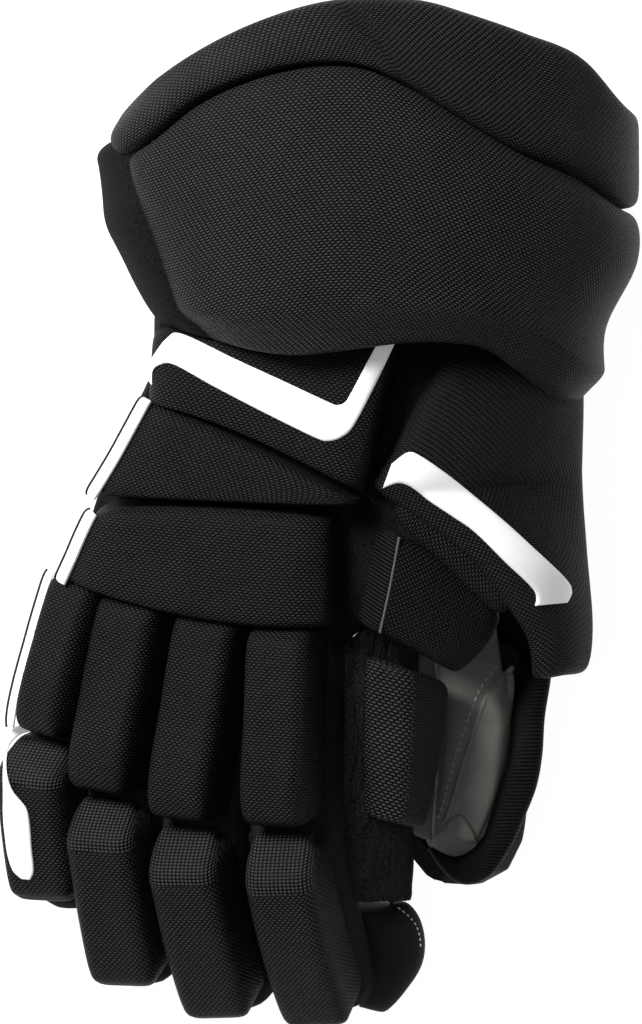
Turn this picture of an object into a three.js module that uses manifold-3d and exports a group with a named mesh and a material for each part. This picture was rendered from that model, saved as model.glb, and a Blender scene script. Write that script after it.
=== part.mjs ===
// An ice hockey glove for the right hand, lying palm down.
// X runs to the thumb side, Y to the open end of the cuff, Z up through the back of the hand.
import * as THREE from "three";
import { mergeVertices } from "three/addons/utils/BufferGeometryUtils.js";
import Module from "manifold-3d";

const wasm = await Module();
wasm.setup();

// Overall sizes, in millimetres
const GLOVE_LENGTH = 347; // fingertips to cuff rim
const GLOVE_WIDTH = 217; // little-finger side to thumb side
const GLOVE_HEIGHT = 130; // table to the top of the cuff

// Foam and wall thicknesses, in millimetres
const CUFF_FOAM = 14;
const CUFF_PALM_FOAM = 9;
const BACKHAND_FOAM = 20;
const FINGER_FOAM = 17;
const SIDE_FOAM = 15; // thumb side of the hand and of the index finger
const THUMB_FOAM = 9;
const LINER_WALL = 2;
const LEATHER_WALL = 2;
const INLAY_WALL = 1.5; // white strips sewn in the rolls' faces
const SIDE_STRIP_WALL = 3; // white strips sewn on the rolls' sides
const CLEARANCE = 0.4; // between pieces that touch

// Finger and thumb sizes, in millimetres
const STALL_WIDTHS = { index: 28, middle: 26, ring: 23, little: 20.5 };
const STALL_DEPTH = 20;
const NEAR_ROLL_WIDTH = 23;
const LITTLE_NEAR_WIDTH = 18.6; // leaves room for the white strip beside it
const TIP_ROLL_WIDTH = 25;
const ROLL_GAP = 5; // crease between a finger's near roll and its tip roll
const THUMB_WIDTH = 27;
const THUMB_DEPTH = 24;
const INLAY_WIDTH = 8;
const REST_HEIGHT = 2; // how much of the lowest cloth is pressed flat on the table

const BLACK = 0x17171a;
const KNIT = 0x101012;
const GREY = 0x4b4b4b;
const WHITE = 0xf1f0ec;

// Places in the tables are shares of the overall sizes: x from the little-finger side,
// y from the fingertips, z from the table.
const atX = (share) => (share - 0.5) * GLOVE_WIDTH;
const atY = (share) => (share - 0.5) * GLOVE_LENGTH;
const atZ = (share) => share * GLOVE_HEIGHT;

const glove = new THREE.Group();

function material(color, roughness) {
  return new THREE.MeshStandardMaterial({ color, roughness, metalness: 0 });
}
const weave = material(BLACK, 0.85);
const knit = material(KNIT, 0.95);
const suede = material(GREY, 0.8);
const white = material(WHITE, 0.5);

// Value of one table column at a share t of the way through its rows, on a smooth curve
function along(rows, column, t) {
  const last = rows.length - 1;
  const place = THREE.MathUtils.clamp(t, 0, 1) * last;
  const i = Math.min(Math.floor(place), last - 1);
  const f = place - i;
  const value = (k) => rows[THREE.MathUtils.clamp(k, 0, last)][column];
  const slopeIn = (value(i + 1) - value(i - 1)) / 2;
  const slopeOut = (value(i + 2) - value(i)) / 2;
  const rise = value(i + 1) - value(i);
  const bend = 3 * rise - 2 * slopeIn - slopeOut;
  const twist = slopeIn + slopeOut - 2 * rise;
  return value(i) + f * (slopeIn + f * (bend + f * twist));
}

// Closed body through a list of closed loops of equal length.
// The ends are poles, flat strips across each loop, or joined to each other.
function loft(loops, ends = "strips") {
  const count = loops[0].length;
  const points = loops.flat();
  const faces = [];
  const quad = (a, b, c, d) => faces.push(a, b, c, a, c, d);
  const rounds = ends === "joined" ? loops.length : loops.length - 1;
  for (let i = 0; i < rounds; i++) {
    const here = i * count;
    const next = ((i + 1) % loops.length) * count;
    for (let j = 0; j < count; j++) {
      const k = (j + 1) % count;
      quad(here + j, here + k, next + k, next + j);
    }
  }
  const lastLoop = (loops.length - 1) * count;
  if (ends === "strips") {
    for (let j = 0; j < count / 2 - 1; j++) {
      const a = j;
      const d = count - 1 - j;
      if (d - 1 > a + 1) quad(a, d, d - 1, a + 1);
      else faces.push(a, d, a + 1);
      if (d - 1 > a + 1) quad(lastLoop + a, lastLoop + a + 1, lastLoop + d - 1, lastLoop + d);
      else faces.push(lastLoop + a, lastLoop + a + 1, lastLoop + d);
    }
  }
  if (ends === "poles") {
    for (const first of [0, lastLoop]) {
      const pole = points.length;
      const loop = points.slice(first, first + count);
      points.push(loop.reduce((sum, p) => sum.add(p), new THREE.Vector3()).divideScalar(count));
      for (let j = 0; j < count; j++) {
        const k = (j + 1) % count;
        if (first === 0) faces.push(pole, first + k, first + j);
        else faces.push(pole, first + j, first + k);
      }
    }
  }
  return solid(points, faces);
}

// Manifold body of points and faces, turned to face outwards
function solid(points, faces) {
  let volume = 0;
  for (let i = 0; i < faces.length; i += 3) {
    const [a, b, c] = [points[faces[i]], points[faces[i + 1]], points[faces[i + 2]]];
    volume += a.dot(new THREE.Vector3().crossVectors(b, c));
  }
  const triVerts = new Uint32Array(faces);
  if (volume < 0) triVerts.reverse();
  const vertProperties = new Float32Array(points.flatMap((p) => p.toArray()));
  return new wasm.Manifold(new wasm.Mesh({ numProp: 3, vertProperties, triVerts }));
}

// Manifold body of a three.js block
function blockBody(block) {
  block.deleteAttribute("normal");
  block.deleteAttribute("uv");
  const { attributes, index } = mergeVertices(block);
  const vertProperties = attributes.position.array;
  const triVerts = new Uint32Array(index.array);
  return new wasm.Manifold(new wasm.Mesh({ numProp: 3, vertProperties, triVerts }));
}

const bodies = new Map();

function add(name, body, look) {
  bodies.set(name, { body, look });
}

// Height of a padded face, from 0 at its base to 1: edges stand part way up and round over
const EDGE_START = 0.66; // share of the way from the middle where the rounding starts
const EDGE_STEPS = [-1, -0.9, -EDGE_START, 0, EDGE_START, 0.9, 1];
const EDGE_HEIGHT = 0.72;
const EDGE_POWER = 2.2;
const CORNER_SHARE = 0.12; // how far a corner is drawn in
const pastEdge = (place) => Math.max(0, (Math.abs(place) - EDGE_START) / (1 - EDGE_START));
const crown = (place) => 1 - (1 - EDGE_HEIGHT) * pastEdge(place) ** EDGE_POWER;

// Padded roll: at(u, v) gives a base point and the direction of the foam there, and grow is a clearance
// round it. The foam narrows from its base to its face, and its corners are rounded.
function roll(at, thickness, shape = {}) {
  const { draft = 0.1, across = EDGE_STEPS, lengthwise = EDGE_STEPS, foot = 0, grow = 0 } = shape;
  const span = at(1, 0).base.distanceTo(at(-1, 0).base);
  const reach = at(0, 1).base.distanceTo(at(0, -1).base);
  const [wider, longer] = [1 + (2 * grow) / span, 1 + (2 * grow) / reach];
  const loops = lengthwise.map((v) => {
    const corner = 1 - CORNER_SHARE * pastEdge(v) ** 3;
    const lift = (u, height) => {
      const { base, normal } = at(u * wider, v * longer);
      return base.addScaledVector(normal, foot - grow + (thickness - foot + 2 * grow) * height);
    };
    const face = across.map((u) => lift(u * corner, crown(u) * crown(v)));
    const under = [...across].reverse().map((u) => lift(u * corner * (1 + draft), 0));
    return [...face, ...under];
  });
  return loft(loops);
}

// Sine or cosine of a turn round a section that is a little squarer than an ellipse
const SQUARENESS = 0.78;
const softened = (value) => Math.sign(value) * Math.abs(value) ** SQUARENESS;

// Point on a sleeve round the hand or wrist, at a share of its length and an angle from the thumb side
function sleevePoint(rows, t, angle, offset, yOf) {
  const turn = THREE.MathUtils.degToRad(angle);
  const lean = THREE.MathUtils.degToRad(along(rows, "lean", t));
  const [c, s] = [Math.cos(turn), Math.sin(turn)];
  const half = ((along(rows, "right", t) - along(rows, "left", t)) / 2) * GLOVE_WIDTH;
  const centre = atX((along(rows, "right", t) + along(rows, "left", t)) / 2);
  const side = atZ(along(rows, "side", t));
  const rise = s > 0 ? atZ(along(rows, "top", t)) - side : side - atZ(along(rows, "bottom", t));
  const across = (half + offset) * softened(c);
  const up = (rise + offset) * softened(s);
  return new THREE.Vector3(
    centre + across * Math.cos(lean) - up * Math.sin(lean),
    yOf(t, angle),
    side + across * Math.sin(lean) + up * Math.cos(lean),
  );
}

const steps = (from, to, count) =>
  Array.from({ length: count + 1 }, (_, i) => from + ((to - from) * i) / count);

// Part of a sleeve's wall between two offsets, at places along it and angles round it
function wall(rows, places, angles, inner, outer, yOf) {
  return loft(places.map((place) => [
    ...angles.map((a) => sleevePoint(rows, place, a, outer, yOf)),
    ...[...angles].reverse().map((a) => sleevePoint(rows, place, a, inner, yOf)),
  ]));
}

// Padded part of a sleeve with rounded edges, and a clearance round it
function paddedWall(rows, yOf, shape, grow = 0) {
  const { t, angle, thickness, across = EDGE_STEPS, lengthwise = EDGE_STEPS } = shape;
  const middle = (range, place) => (range[0] + range[1]) / 2 + ((range[1] - range[0]) / 2) * place;
  const length = Math.abs(yOf(t[1], 90) - yOf(t[0], 90));
  const [longer, wider] = [1 + (2 * grow) / length, 1 + (2 * grow) / GLOVE_WIDTH];
  const point = (u, v, height) => {
    const offset = -1 - grow + (thickness + 1 + 2 * grow) * height;
    return sleevePoint(rows, middle(t, v * longer), middle(angle, u * wider), offset, yOf);
  };
  return loft(lengthwise.map((v) => [
    ...across.map((u) => point(u, v, crown(u) * crown(v))),
    ...[...across].reverse().map((u) => point(u, v, 0)),
  ]));
}

// Closed loop round a sleeve, from a first angle under its thumb side
const RING_START = -60;
const RING_SIDES = 18;
const RING_ANGLES = steps(RING_START, RING_START + 360 - 360 / RING_SIDES, RING_SIDES - 1);
const ringLoop = (rows, t, offset, yOf) => RING_ANGLES.map((a) => sleevePoint(rows, t, a, offset, yOf));

// Cuff: inner face of its foam, from the lip over the hand to the open rim
const CUFF = [
  { left: 0.3, right: 0.868, side: 0.42, top: 0.85, bottom: 0.11, lean: 3 },
  { left: 0.262, right: 0.9, side: 0.42, top: 0.88, bottom: 0.09, lean: 2 },
  { left: 0.215, right: 0.935, side: 0.42, top: 0.892, bottom: 0.08, lean: 1 },
  { left: 0.185, right: 0.93, side: 0.43, top: 0.885, bottom: 0.075, lean: 0 },
  { left: 0.228, right: 0.93, side: 0.44, top: 0.87, bottom: 0.075, lean: 0 },
];

// Where the cuff's lip, crease and rim lie along the glove, at even places across its back
// from the thumb side
const CUFF_EDGES = [
  { lip: 0.61, crease: 0.796, rim: 0.866 },
  { lip: 0.635, crease: 0.828, rim: 0.939 },
  { lip: 0.66, crease: 0.851, rim: 0.966 },
  { lip: 0.666, crease: 0.881, rim: 0.983 },
  { lip: 0.666, crease: 0.912, rim: 0.997 },
  { lip: 0.662, crease: 0.933, rim: 1 },
  { lip: 0.657, crease: 0.934, rim: 0.996 },
  { lip: 0.654, crease: 0.922, rim: 0.982 },
  { lip: 0.658, crease: 0.899, rim: 0.96 },
  { lip: 0.668, crease: 0.86, rim: 0.929 },
  { lip: 0.679, crease: 0.84, rim: 0.886 },
];
const CUFF_UNDER = { lip: 0.675, crease: 0.795, rim: 0.85 }; // the same on the palm side

const CREASE_PLACE = 0.68; // share of the cuff's rows at the crease
const LINER_START = 0.35; // where the cuff's lining leaves the wrist
const LINER_PLACES = [LINER_START, 0.52, CREASE_PLACE, 0.84, 0.97];
const WRIST_PLACES = steps(0, 1, 3);

function cuffY(t, angle) {
  const turn = THREE.MathUtils.degToRad(angle);
  const across = softened(Math.cos(turn));
  const under = THREE.MathUtils.smoothstep(-Math.sin(turn), 0, 1);
  const edge = (column) => {
    const onBack = along(CUFF_EDGES, column, (1 - across) / 2);
    return atY(onBack + (CUFF_UNDER[column] - onBack) * under);
  };
  if (t < CREASE_PLACE) return edge("lip") + ((edge("crease") - edge("lip")) * t) / CREASE_PLACE;
  return edge("crease") + ((edge("rim") - edge("crease")) * (t - CREASE_PLACE)) / (1 - CREASE_PLACE);
}

// Angles of the facets' edges round the cuff's foam
const CUFF_COLUMNS = [-24, -20, -8, 10, 28, 46, 62, 76, 86, 94, 104, 118, 132];
const PANEL_COLUMNS = [...CUFF_COLUMNS, 145, 149];
const RIM_COLUMNS = [...CUFF_COLUMNS, 148, 156];
const spread = (angles) => angles.map((a) => (2 * (a - angles[0])) / (angles.at(-1) - angles[0]) - 1);
const CREASE_GAP = 0.004; // share of the cuff's length
const FRONT_PANEL = {
  t: [0, CREASE_PLACE - CREASE_GAP],
  angle: [PANEL_COLUMNS[0], PANEL_COLUMNS.at(-1)],
  thickness: CUFF_FOAM,
  across: spread(PANEL_COLUMNS),
};
const RIM_ROLL = {
  t: [CREASE_PLACE + CREASE_GAP, 1],
  angle: [RIM_COLUMNS[0], RIM_COLUMNS.at(-1)],
  thickness: CUFF_FOAM,
  across: spread(RIM_COLUMNS),
};
const SIDE_PANEL = { t: [0.01, 0.82], angle: [151, 206], thickness: CUFF_FOAM * 0.9 };
const PALM_PANEL = { t: [0, 1], angle: [208, 334], thickness: CUFF_PALM_FOAM };

function buildCuff() {
  const core = cuffCore(CLEARANCE);
  const piece = (shape) => paddedWall(CUFF, cuffY, shape).subtract(core);
  const grown = (shape) => paddedWall(CUFF, cuffY, shape, CLEARANCE);
  add("cuff_rim_roll", piece(RIM_ROLL), weave);
  add("cuff_front_panel", piece(FRONT_PANEL).subtract(grown(RIM_ROLL)), weave);
  add("cuff_side_panel", piece(SIDE_PANEL).subtract(grown(FRONT_PANEL)).subtract(grown(RIM_ROLL)), knit);
  add("cuff_palm_panel", piece(PALM_PANEL).subtract(grown(SIDE_PANEL)).subtract(grown(FRONT_PANEL)), weave);
  add("cuff_liner", loft([
    ...[...LINER_PLACES].reverse().map((t) => ringLoop(CUFF, t, -LINER_WALL, cuffY)),
    ...LINER_PLACES.map((t) => ringLoop(CUFF, t, 0, cuffY)),
  ], "joined"), knit);
}

// Hand pocket: outer face of the liner, from the finger roots to the wrist
const HAND = [
  { y: 0.4, left: 0.105, right: 0.54, side: 0.352, top: 0.44, bottom: 0.262, lean: 22, skew: -0.03 },
  { y: 0.47, left: 0.12, right: 0.69, side: 0.375, top: 0.5, bottom: 0.235, lean: 20, skew: -0.02 },
  { y: 0.55, left: 0.16, right: 0.79, side: 0.41, top: 0.57, bottom: 0.2, lean: 15, skew: 0 },
  { y: 0.64, left: 0.235, right: 0.835, side: 0.44, top: 0.65, bottom: 0.18, lean: 8, skew: 0 },
];

function handY(t, angle) {
  const skew = along(HAND, "skew", t) * GLOVE_LENGTH;
  return atY(along(HAND, "y", t)) + skew * Math.cos(THREE.MathUtils.degToRad(angle));
}

// Lining between the hand pocket and the cuff
function wristLoop(s, offset) {
  const blend = s * s * (3 - 2 * s);
  const hand = ringLoop(HAND, 1, offset, (t, a) => handY(t, a) + CLEARANCE);
  const cuff = ringLoop(CUFF, LINER_START, offset, (t, a) => cuffY(t, a) - CLEARANCE);
  return hand.map((p, i) => p.clone().lerp(cuff[i], blend));
}

// Solid forms of the sleeves, grown by a clearance all round, that everything on them is seated on
function sleeveCore(loops, grow) {
  const shifted = (loop, step) => loop.map((p) => p.clone().add(new THREE.Vector3(0, step, 0)));
  return loft([shifted(loops[0], -2 * grow), ...loops, shifted(loops.at(-1), 2 * grow)], "poles");
}
const handCore = (grow) => sleeveCore(HAND_PLACES.map((t) => ringLoop(HAND, t, grow, handY)), grow);
const wristCore = (grow) => sleeveCore(WRIST_PLACES.map((s) => wristLoop(s, grow)), grow);
const cuffCore = (grow) => {
  const beyond = (t) => (t === LINER_PLACES.at(-1) ? 1.1 : t);
  const lining = sleeveCore(LINER_PLACES.map((t) => ringLoop(CUFF, beyond(t), grow, cuffY)), grow);
  return lining.add(wristCore(grow));
};

const HAND_PLACES = steps(0, 1, 6);
const BACK_ANGLES = steps(-20, 200, 11);
const PALM_ANGLES = [200.6, ...steps(220, 320, 5), 339.4];

function buildHand(thumbHole) {
  const back = wall(HAND, HAND_PLACES, BACK_ANGLES, -LINER_WALL, 0, handY);
  const palm = wall(HAND, HAND_PLACES, PALM_ANGLES, -LEATHER_WALL, 0, handY);
  add("back_liner", back.subtract(thumbHole), knit);
  add("palm_leather", palm.subtract(thumbHole), suede);
  add("wrist_liner", loft([
    ...[...WRIST_PLACES].reverse().map((s) => wristLoop(s, -LINER_WALL)),
    ...WRIST_PLACES.map((s) => wristLoop(s, 0)),
  ], "joined"), knit);
}

// Paths along the middle of each finger's back, from the knuckle to the fingertip
const FINGERS = {
  index: [
    { x: 0.452, y: 0.4, z: 0.53, lean: 20 },
    { x: 0.447, y: 0.3, z: 0.505, lean: 20 },
    { x: 0.441, y: 0.204, z: 0.47, lean: 19 },
    { x: 0.466, y: 0.112, z: 0.37, lean: 17 },
    { x: 0.505, y: 0.03, z: 0.19, lean: 15 },
  ],
  middle: [
    { x: 0.345, y: 0.413, z: 0.465, lean: 23 },
    { x: 0.32, y: 0.31, z: 0.435, lean: 24 },
    { x: 0.297, y: 0.208, z: 0.405, lean: 24 },
    { x: 0.317, y: 0.12, z: 0.32, lean: 21 },
    { x: 0.353, y: 0.034, z: 0.17, lean: 18 },
  ],
  ring: [
    { x: 0.23, y: 0.428, z: 0.4, lean: 26 },
    { x: 0.2, y: 0.33, z: 0.372, lean: 28 },
    { x: 0.174, y: 0.234, z: 0.34, lean: 27 },
    { x: 0.186, y: 0.152, z: 0.275, lean: 24 },
    { x: 0.209, y: 0.062, z: 0.15, lean: 20 },
  ],
  little: [
    { x: 0.142, y: 0.444, z: 0.33, lean: 30 },
    { x: 0.109, y: 0.37, z: 0.31, lean: 33 },
    { x: 0.078, y: 0.29, z: 0.28, lean: 33 },
    { x: 0.075, y: 0.218, z: 0.22, lean: 30 },
    { x: 0.088, y: 0.14, z: 0.152, lean: 26 },
  ],
};

const THUMB = [
  { x: 0.6, y: 0.47, z: 0.36, lean: -4 },
  { x: 0.712, y: 0.4, z: 0.335, lean: -10 },
  { x: 0.75, y: 0.32, z: 0.305, lean: -15 },
  { x: 0.745, y: 0.245, z: 0.275, lean: -17 },
  { x: 0.733, y: 0.185, z: 0.24, lean: -17 },
];

const STALL_SIDES = 10;

// Place on a finger's back, with the direction across the finger and the one out of its back
function fingerFrame(path, s) {
  const place = (t) =>
    new THREE.Vector3(atX(along(path, "x", t)), atY(along(path, "y", t)), atZ(along(path, "z", t)));
  const back = place(s);
  const tangent = place(Math.min(s + 0.02, 1)).sub(place(Math.max(s - 0.02, 0))).normalize();
  const lean = THREE.MathUtils.degToRad(along(path, "lean", s));
  const level = new THREE.Vector3(Math.cos(lean), 0, Math.sin(lean));
  const normal = new THREE.Vector3().crossVectors(tangent, level).negate().normalize();
  if (normal.z < 0) normal.negate();
  const across = new THREE.Vector3().crossVectors(normal, tangent).normalize();
  if (across.x < 0) across.negate();
  return { back, tangent, normal, across };
}

// Point on a stall: angle 90 is its back, and the tip closes in a quarter round
function stallPoint(path, s, angle, offset, width, depth) {
  const { back, tangent, normal, across } = fingerFrame(path, Math.min(s, 1));
  const turn = THREE.MathUtils.degToRad(angle);
  const beyond = Math.max(0, s - 1);
  const close = Math.sqrt(Math.max(0, 1 - Math.min(beyond, 0.96) ** 2));
  const reach = (depth / 2 + offset) * Math.min(beyond, 1);
  return back.clone()
    .addScaledVector(normal, -depth / 2 + (depth / 2 + offset) * softened(Math.sin(turn)) * close)
    .addScaledVector(across, (width / 2 + offset) * softened(Math.cos(turn)) * close)
    .addScaledVector(tangent, reach);
}

const STALL_STEPS = [0, 0.3, 0.6, 0.82, 1, 1.55, 1.88];
const stallLoop = (path, s, offset, width, depth) =>
  steps(0, 360 - 360 / STALL_SIDES, STALL_SIDES - 1).map((a) => stallPoint(path, s, a, offset, width, depth));

const stallCore = (path, grow, width, depth) =>
  loft(STALL_STEPS.map((s) => stallLoop(path, s, grow, width, depth)), "poles");

const stall = (path, wallThickness, width, depth) =>
  loft([
    ...[...STALL_STEPS].reverse().map((s) => stallLoop(path, s, -wallThickness, width, depth)),
    ...STALL_STEPS.map((s) => stallLoop(path, s, 0, width, depth)),
  ], "poles");

// Roll on a finger's back between two places on its path, off its middle by a shift
function fingerAt(path, from, to, width, shift = 0) {
  return (u, v) => {
    const { back, normal, across } = fingerFrame(path, (from + to) / 2 + ((to - from) / 2) * v);
    return { base: back.addScaledVector(across, shift + (u * width) / 2), normal };
  };
}

const NEAR_ROLL = [0.03, 0.5]; // share of a finger's path under its near roll
const TIP_ROLL = [0.5 + (2.2 * ROLL_GAP) / GLOVE_LENGTH, 1.03];
const nearRollAt = (path) => (path === FINGERS.little
  ? fingerAt(path, ...NEAR_ROLL, LITTLE_NEAR_WIDTH, (NEAR_ROLL_WIDTH - LITTLE_NEAR_WIDTH) / 2)
  : fingerAt(path, ...NEAR_ROLL, NEAR_ROLL_WIDTH));
const tipRollAt = (path) => fingerAt(path, ...TIP_ROLL, TIP_ROLL_WIDTH);

const FINGER_FOOT = -2; // how far a roll's sides run down past the stall's back

function buildFingers(hand) {
  const knuckle = roll(railAt(KNUCKLE_ROLL), BACKHAND_FOAM, { foot: BACKHAND_FOOT, grow: CLEARANCE });
  let beside = hand;
  for (const [finger, path] of Object.entries(FINGERS)) {
    const width = STALL_WIDTHS[finger];
    const core = stallCore(path, CLEARANCE, width, STALL_DEPTH);
    const seated = (at) =>
      cut(roll(at, FINGER_FOAM, { foot: FINGER_FOOT }), core, hand, knuckle, beside);
    add(finger + "_stall", cut(stall(path, LEATHER_WALL, width, STALL_DEPTH), hand, beside), suede);
    add(finger + "_near_roll", seated(nearRollAt(path)), weave);
    add(finger + "_tip_roll", seated(tipRollAt(path)), weave);
    const grown = (at) => roll(at, FINGER_FOAM, { foot: FINGER_FOOT, grow: CLEARANCE });
    beside = core.add(grown(nearRollAt(path))).add(grown(tipRollAt(path)));
  }
}

// Surface on three rails, given as rows of the near, middle and far rail's places in shares
function railAt(rows) {
  const table = rows.map((row) => Object.fromEntries(
    row.flat().map((share, i) => ["c" + i, [atX, atY, atZ][i % 3](share)]),
  ));
  const rail = (k, t) => new THREE.Vector3(...[0, 1, 2].map((i) => along(table, "c" + (3 * k + i), t)));
  const point = (u, v) => {
    const t = (v + 1) / 2;
    const beyond = v - THREE.MathUtils.clamp(v, -1, 1);
    const sum = rail(0, t).multiplyScalar((u * (u - 1)) / 2);
    sum.addScaledVector(rail(1, t), 1 - u * u).addScaledVector(rail(2, t), (u * (u + 1)) / 2);
    if (beyond) sum.add(rail(1, t).sub(rail(1, t - Math.sign(v) * 0.1)).multiplyScalar(Math.abs(beyond) * 5));
    return sum;
  };
  return (u, v) => {
    const step = 0.02;
    const [cu, cv] = [THREE.MathUtils.clamp(u, -0.98, 0.98), THREE.MathUtils.clamp(v, -0.98, 0.98)];
    const du = point(cu + step, cv).sub(point(cu - step, cv));
    const dv = point(cu, cv + step).sub(point(cu, cv - step));
    const normal = du.cross(dv).normalize();
    if (normal.z < 0) normal.negate();
    return { base: point(u, v), normal };
  };
}

// A body less everything that lies beside it, without crumbs
function cut(body, ...others) {
  const left = others.reduce((rest, other) => rest.subtract(other), body);
  return left.decompose().sort((a, b) => b.volume() - a.volume())[0];
}

// White strip sewn in a roll's face, along a path of places on it, and the groove that it lies in
function faceStrip(at, thickness, path, width, grow = 0) {
  const rows = path.map(([u, v]) => ({ u, v }));
  const centre = (t) => {
    const [u, v] = [along(rows, "u", t), along(rows, "v", t)];
    const { base, normal } = at(u, v);
    return { point: base.addScaledVector(normal, thickness * crown(u) * crown(v)), normal };
  };
  const loops = steps(0, 1, 10).map((t) => {
    const { point, normal } = centre(t);
    const forward = centre(Math.min(1, t + 0.03)).point.sub(centre(Math.max(0, t - 0.03)).point).normalize();
    const side = new THREE.Vector3().crossVectors(normal, forward).normalize();
    const corner = (across, up) =>
      point.clone().addScaledVector(side, across * (width / 2 + grow)).addScaledVector(normal, up)
        .addScaledVector(forward, t === 0 ? -grow : t === 1 ? grow : 0);
    const [low, high] = [-INLAY_WALL / 2 - grow - 1, INLAY_WALL / 2 + grow];
    return [corner(-1, high), corner(1, high), corner(1, low), corner(-1, low)];
  });
  return loft(loops);
}

// White strip on a roll's side towards the little finger, standing off it by the clearance
function sideStrip(at, thickness, foot, draft = 0.1) {
  const loops = steps(-0.82, 0.82, 5).map((v) => {
    const { base, normal } = at(-1, v);
    const low = at(-1 - draft, v);
    const top = base.clone().addScaledVector(normal, foot + (thickness - foot) * crown(1) * crown(v));
    const bottom = low.base.clone().addScaledVector(low.normal, foot);
    const outward = at(-1, v).base.sub(at(0, v).base).normalize();
    const place = (f, out) => bottom.clone().lerp(top, f).addScaledVector(outward, out);
    const [near, far] = [CLEARANCE * 1.5, CLEARANCE * 1.5 + SIDE_STRIP_WALL];
    return [place(0.4, near), place(0.98, near), place(0.98, far), place(0.4, far)];
  });
  return loft(loops);
}

// Rolls on the back of the hand: places of their base, in shares
const UPPER_ROLL = [
  [[0.247, 0.666, 0.52], [0.45, 0.668, 0.6], [0.63, 0.67, 0.64]],
  [[0.249, 0.64, 0.5], [0.44, 0.61, 0.58], [0.595, 0.59, 0.62]],
  [[0.252, 0.626, 0.49], [0.42, 0.575, 0.56], [0.57, 0.52, 0.6]],
];
const WEDGE_ROLL = [
  [[0.247, 0.618, 0.48], [0.42, 0.568, 0.55], [0.57, 0.516, 0.6]],
  [[0.205, 0.57, 0.45], [0.39, 0.54, 0.53], [0.57, 0.513, 0.6]],
  [[0.16, 0.522, 0.41], [0.36, 0.515, 0.51], [0.57, 0.51, 0.6]],
];
const KNUCKLE_ROLL = [
  [[0.165, 0.512, 0.4], [0.34, 0.512, 0.49], [0.53, 0.502, 0.575]],
  [[0.145, 0.48, 0.37], [0.33, 0.455, 0.47], [0.527, 0.445, 0.555]],
  [[0.13, 0.446, 0.33], [0.315, 0.402, 0.45], [0.523, 0.392, 0.54]],
];
const BACKHAND_FOOT = -6; // how far the rolls' sides run down before they meet the liner
const CHEVRON = [[-0.92, -0.85], [-0.45, -0.42], [0.25, -0.08], [0.66, 0.06], [0.76, -0.4], [0.86, -0.92]];
const GROOVE = 2 * CLEARANCE;

function buildBackhand(hand) {
  const form = (rows) => roll(railAt(rows), BACKHAND_FOAM, { foot: BACKHAND_FOOT });
  const grown = (rows) => roll(railAt(rows), BACKHAND_FOAM, { foot: BACKHAND_FOOT, grow: CLEARANCE });
  const upper = railAt(UPPER_ROLL);
  const wrist = wristCore(CLEARANCE);
  const lip = paddedWall(CUFF, cuffY, FRONT_PANEL, CLEARANCE);
  const stalls = Object.entries(FINGERS).map(([finger, path]) =>
    stallCore(path, CLEARANCE, STALL_WIDTHS[finger], STALL_DEPTH));
  const groove = faceStrip(upper, BACKHAND_FOAM, CHEVRON, INLAY_WIDTH, GROOVE);
  add("backhand_upper_roll", cut(form(UPPER_ROLL), hand, wrist, lip, groove), weave);
  add("backhand_chevron", cut(faceStrip(upper, BACKHAND_FOAM, CHEVRON, INLAY_WIDTH), lip), white);
  add("backhand_wedge_roll", cut(form(WEDGE_ROLL), hand, grown(UPPER_ROLL)), weave);
  add("knuckle_roll", cut(form(KNUCKLE_ROLL), hand, grown(WEDGE_ROLL), ...stalls), weave);
  add("wedge_side_strip", sideStrip(railAt(WEDGE_ROLL), BACKHAND_FOAM, BACKHAND_FOOT), white);
  add("knuckle_side_strip", sideStrip(railAt(KNUCKLE_ROLL), BACKHAND_FOAM, BACKHAND_FOOT), white);
  add("little_near_strip", sideStrip(nearRollAt(FINGERS.little), FINGER_FOAM, FINGER_FOOT), white);
  add("little_tip_strip", sideStrip(tipRollAt(FINGERS.little), FINGER_FOAM, FINGER_FOOT), white);
}

// Pieces on the thumb side: places of their base, in shares
const THUMB_SIDE_ROLL = [
  [[0.69, 0.66, 0.646], [0.8, 0.66, 0.569], [0.85, 0.66, 0.346]],
  [[0.615, 0.567, 0.615], [0.76, 0.567, 0.538], [0.852, 0.567, 0.323]],
  [[0.585, 0.53, 0.585], [0.75, 0.53, 0.508], [0.856, 0.53, 0.308]],
  [[0.747, 0.465, 0.523], [0.805, 0.465, 0.477], [0.855, 0.465, 0.308]],
  [[0.81, 0.4, 0.43], [0.838, 0.4, 0.395], [0.856, 0.4, 0.292]],
  [[0.832, 0.348, 0.375], [0.846, 0.343, 0.354], [0.856, 0.343, 0.292]],
];
const THUMB_STRIPE = [[-0.84, -0.46], [-0.74, -0.2], [-0.6, 0.12], [-0.45, 0.35], [-0.25, 0.5]];
const CROTCH_ROLL = [
  [[0.612, 0.522, 0.6], [0.611, 0.511, 0.59], [0.612, 0.5, 0.58]],
  [[0.72, 0.487, 0.545], [0.705, 0.473, 0.54], [0.69, 0.459, 0.525]],
  [[0.818, 0.428, 0.485], [0.8, 0.42, 0.47], [0.78, 0.41, 0.45]],
];
const INDEX_SIDE_UPPER_ROLL = [
  [[0.575, 0.497, 0.58], [0.67, 0.462, 0.52], [0.765, 0.41, 0.4]],
  [[0.56, 0.445, 0.56], [0.65, 0.414, 0.5], [0.742, 0.384, 0.39]],
  [[0.55, 0.397, 0.54], [0.62, 0.376, 0.49], [0.69, 0.358, 0.39]],
];
const INDEX_SIDE_LOWER_ROLL = [
  [[0.575, 0.362, 0.53], [0.62, 0.352, 0.47], [0.664, 0.341, 0.37]],
  [[0.573, 0.28, 0.48], [0.612, 0.275, 0.43], [0.645, 0.27, 0.35]],
  [[0.572, 0.206, 0.43], [0.598, 0.202, 0.39], [0.618, 0.198, 0.33]],
];
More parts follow.
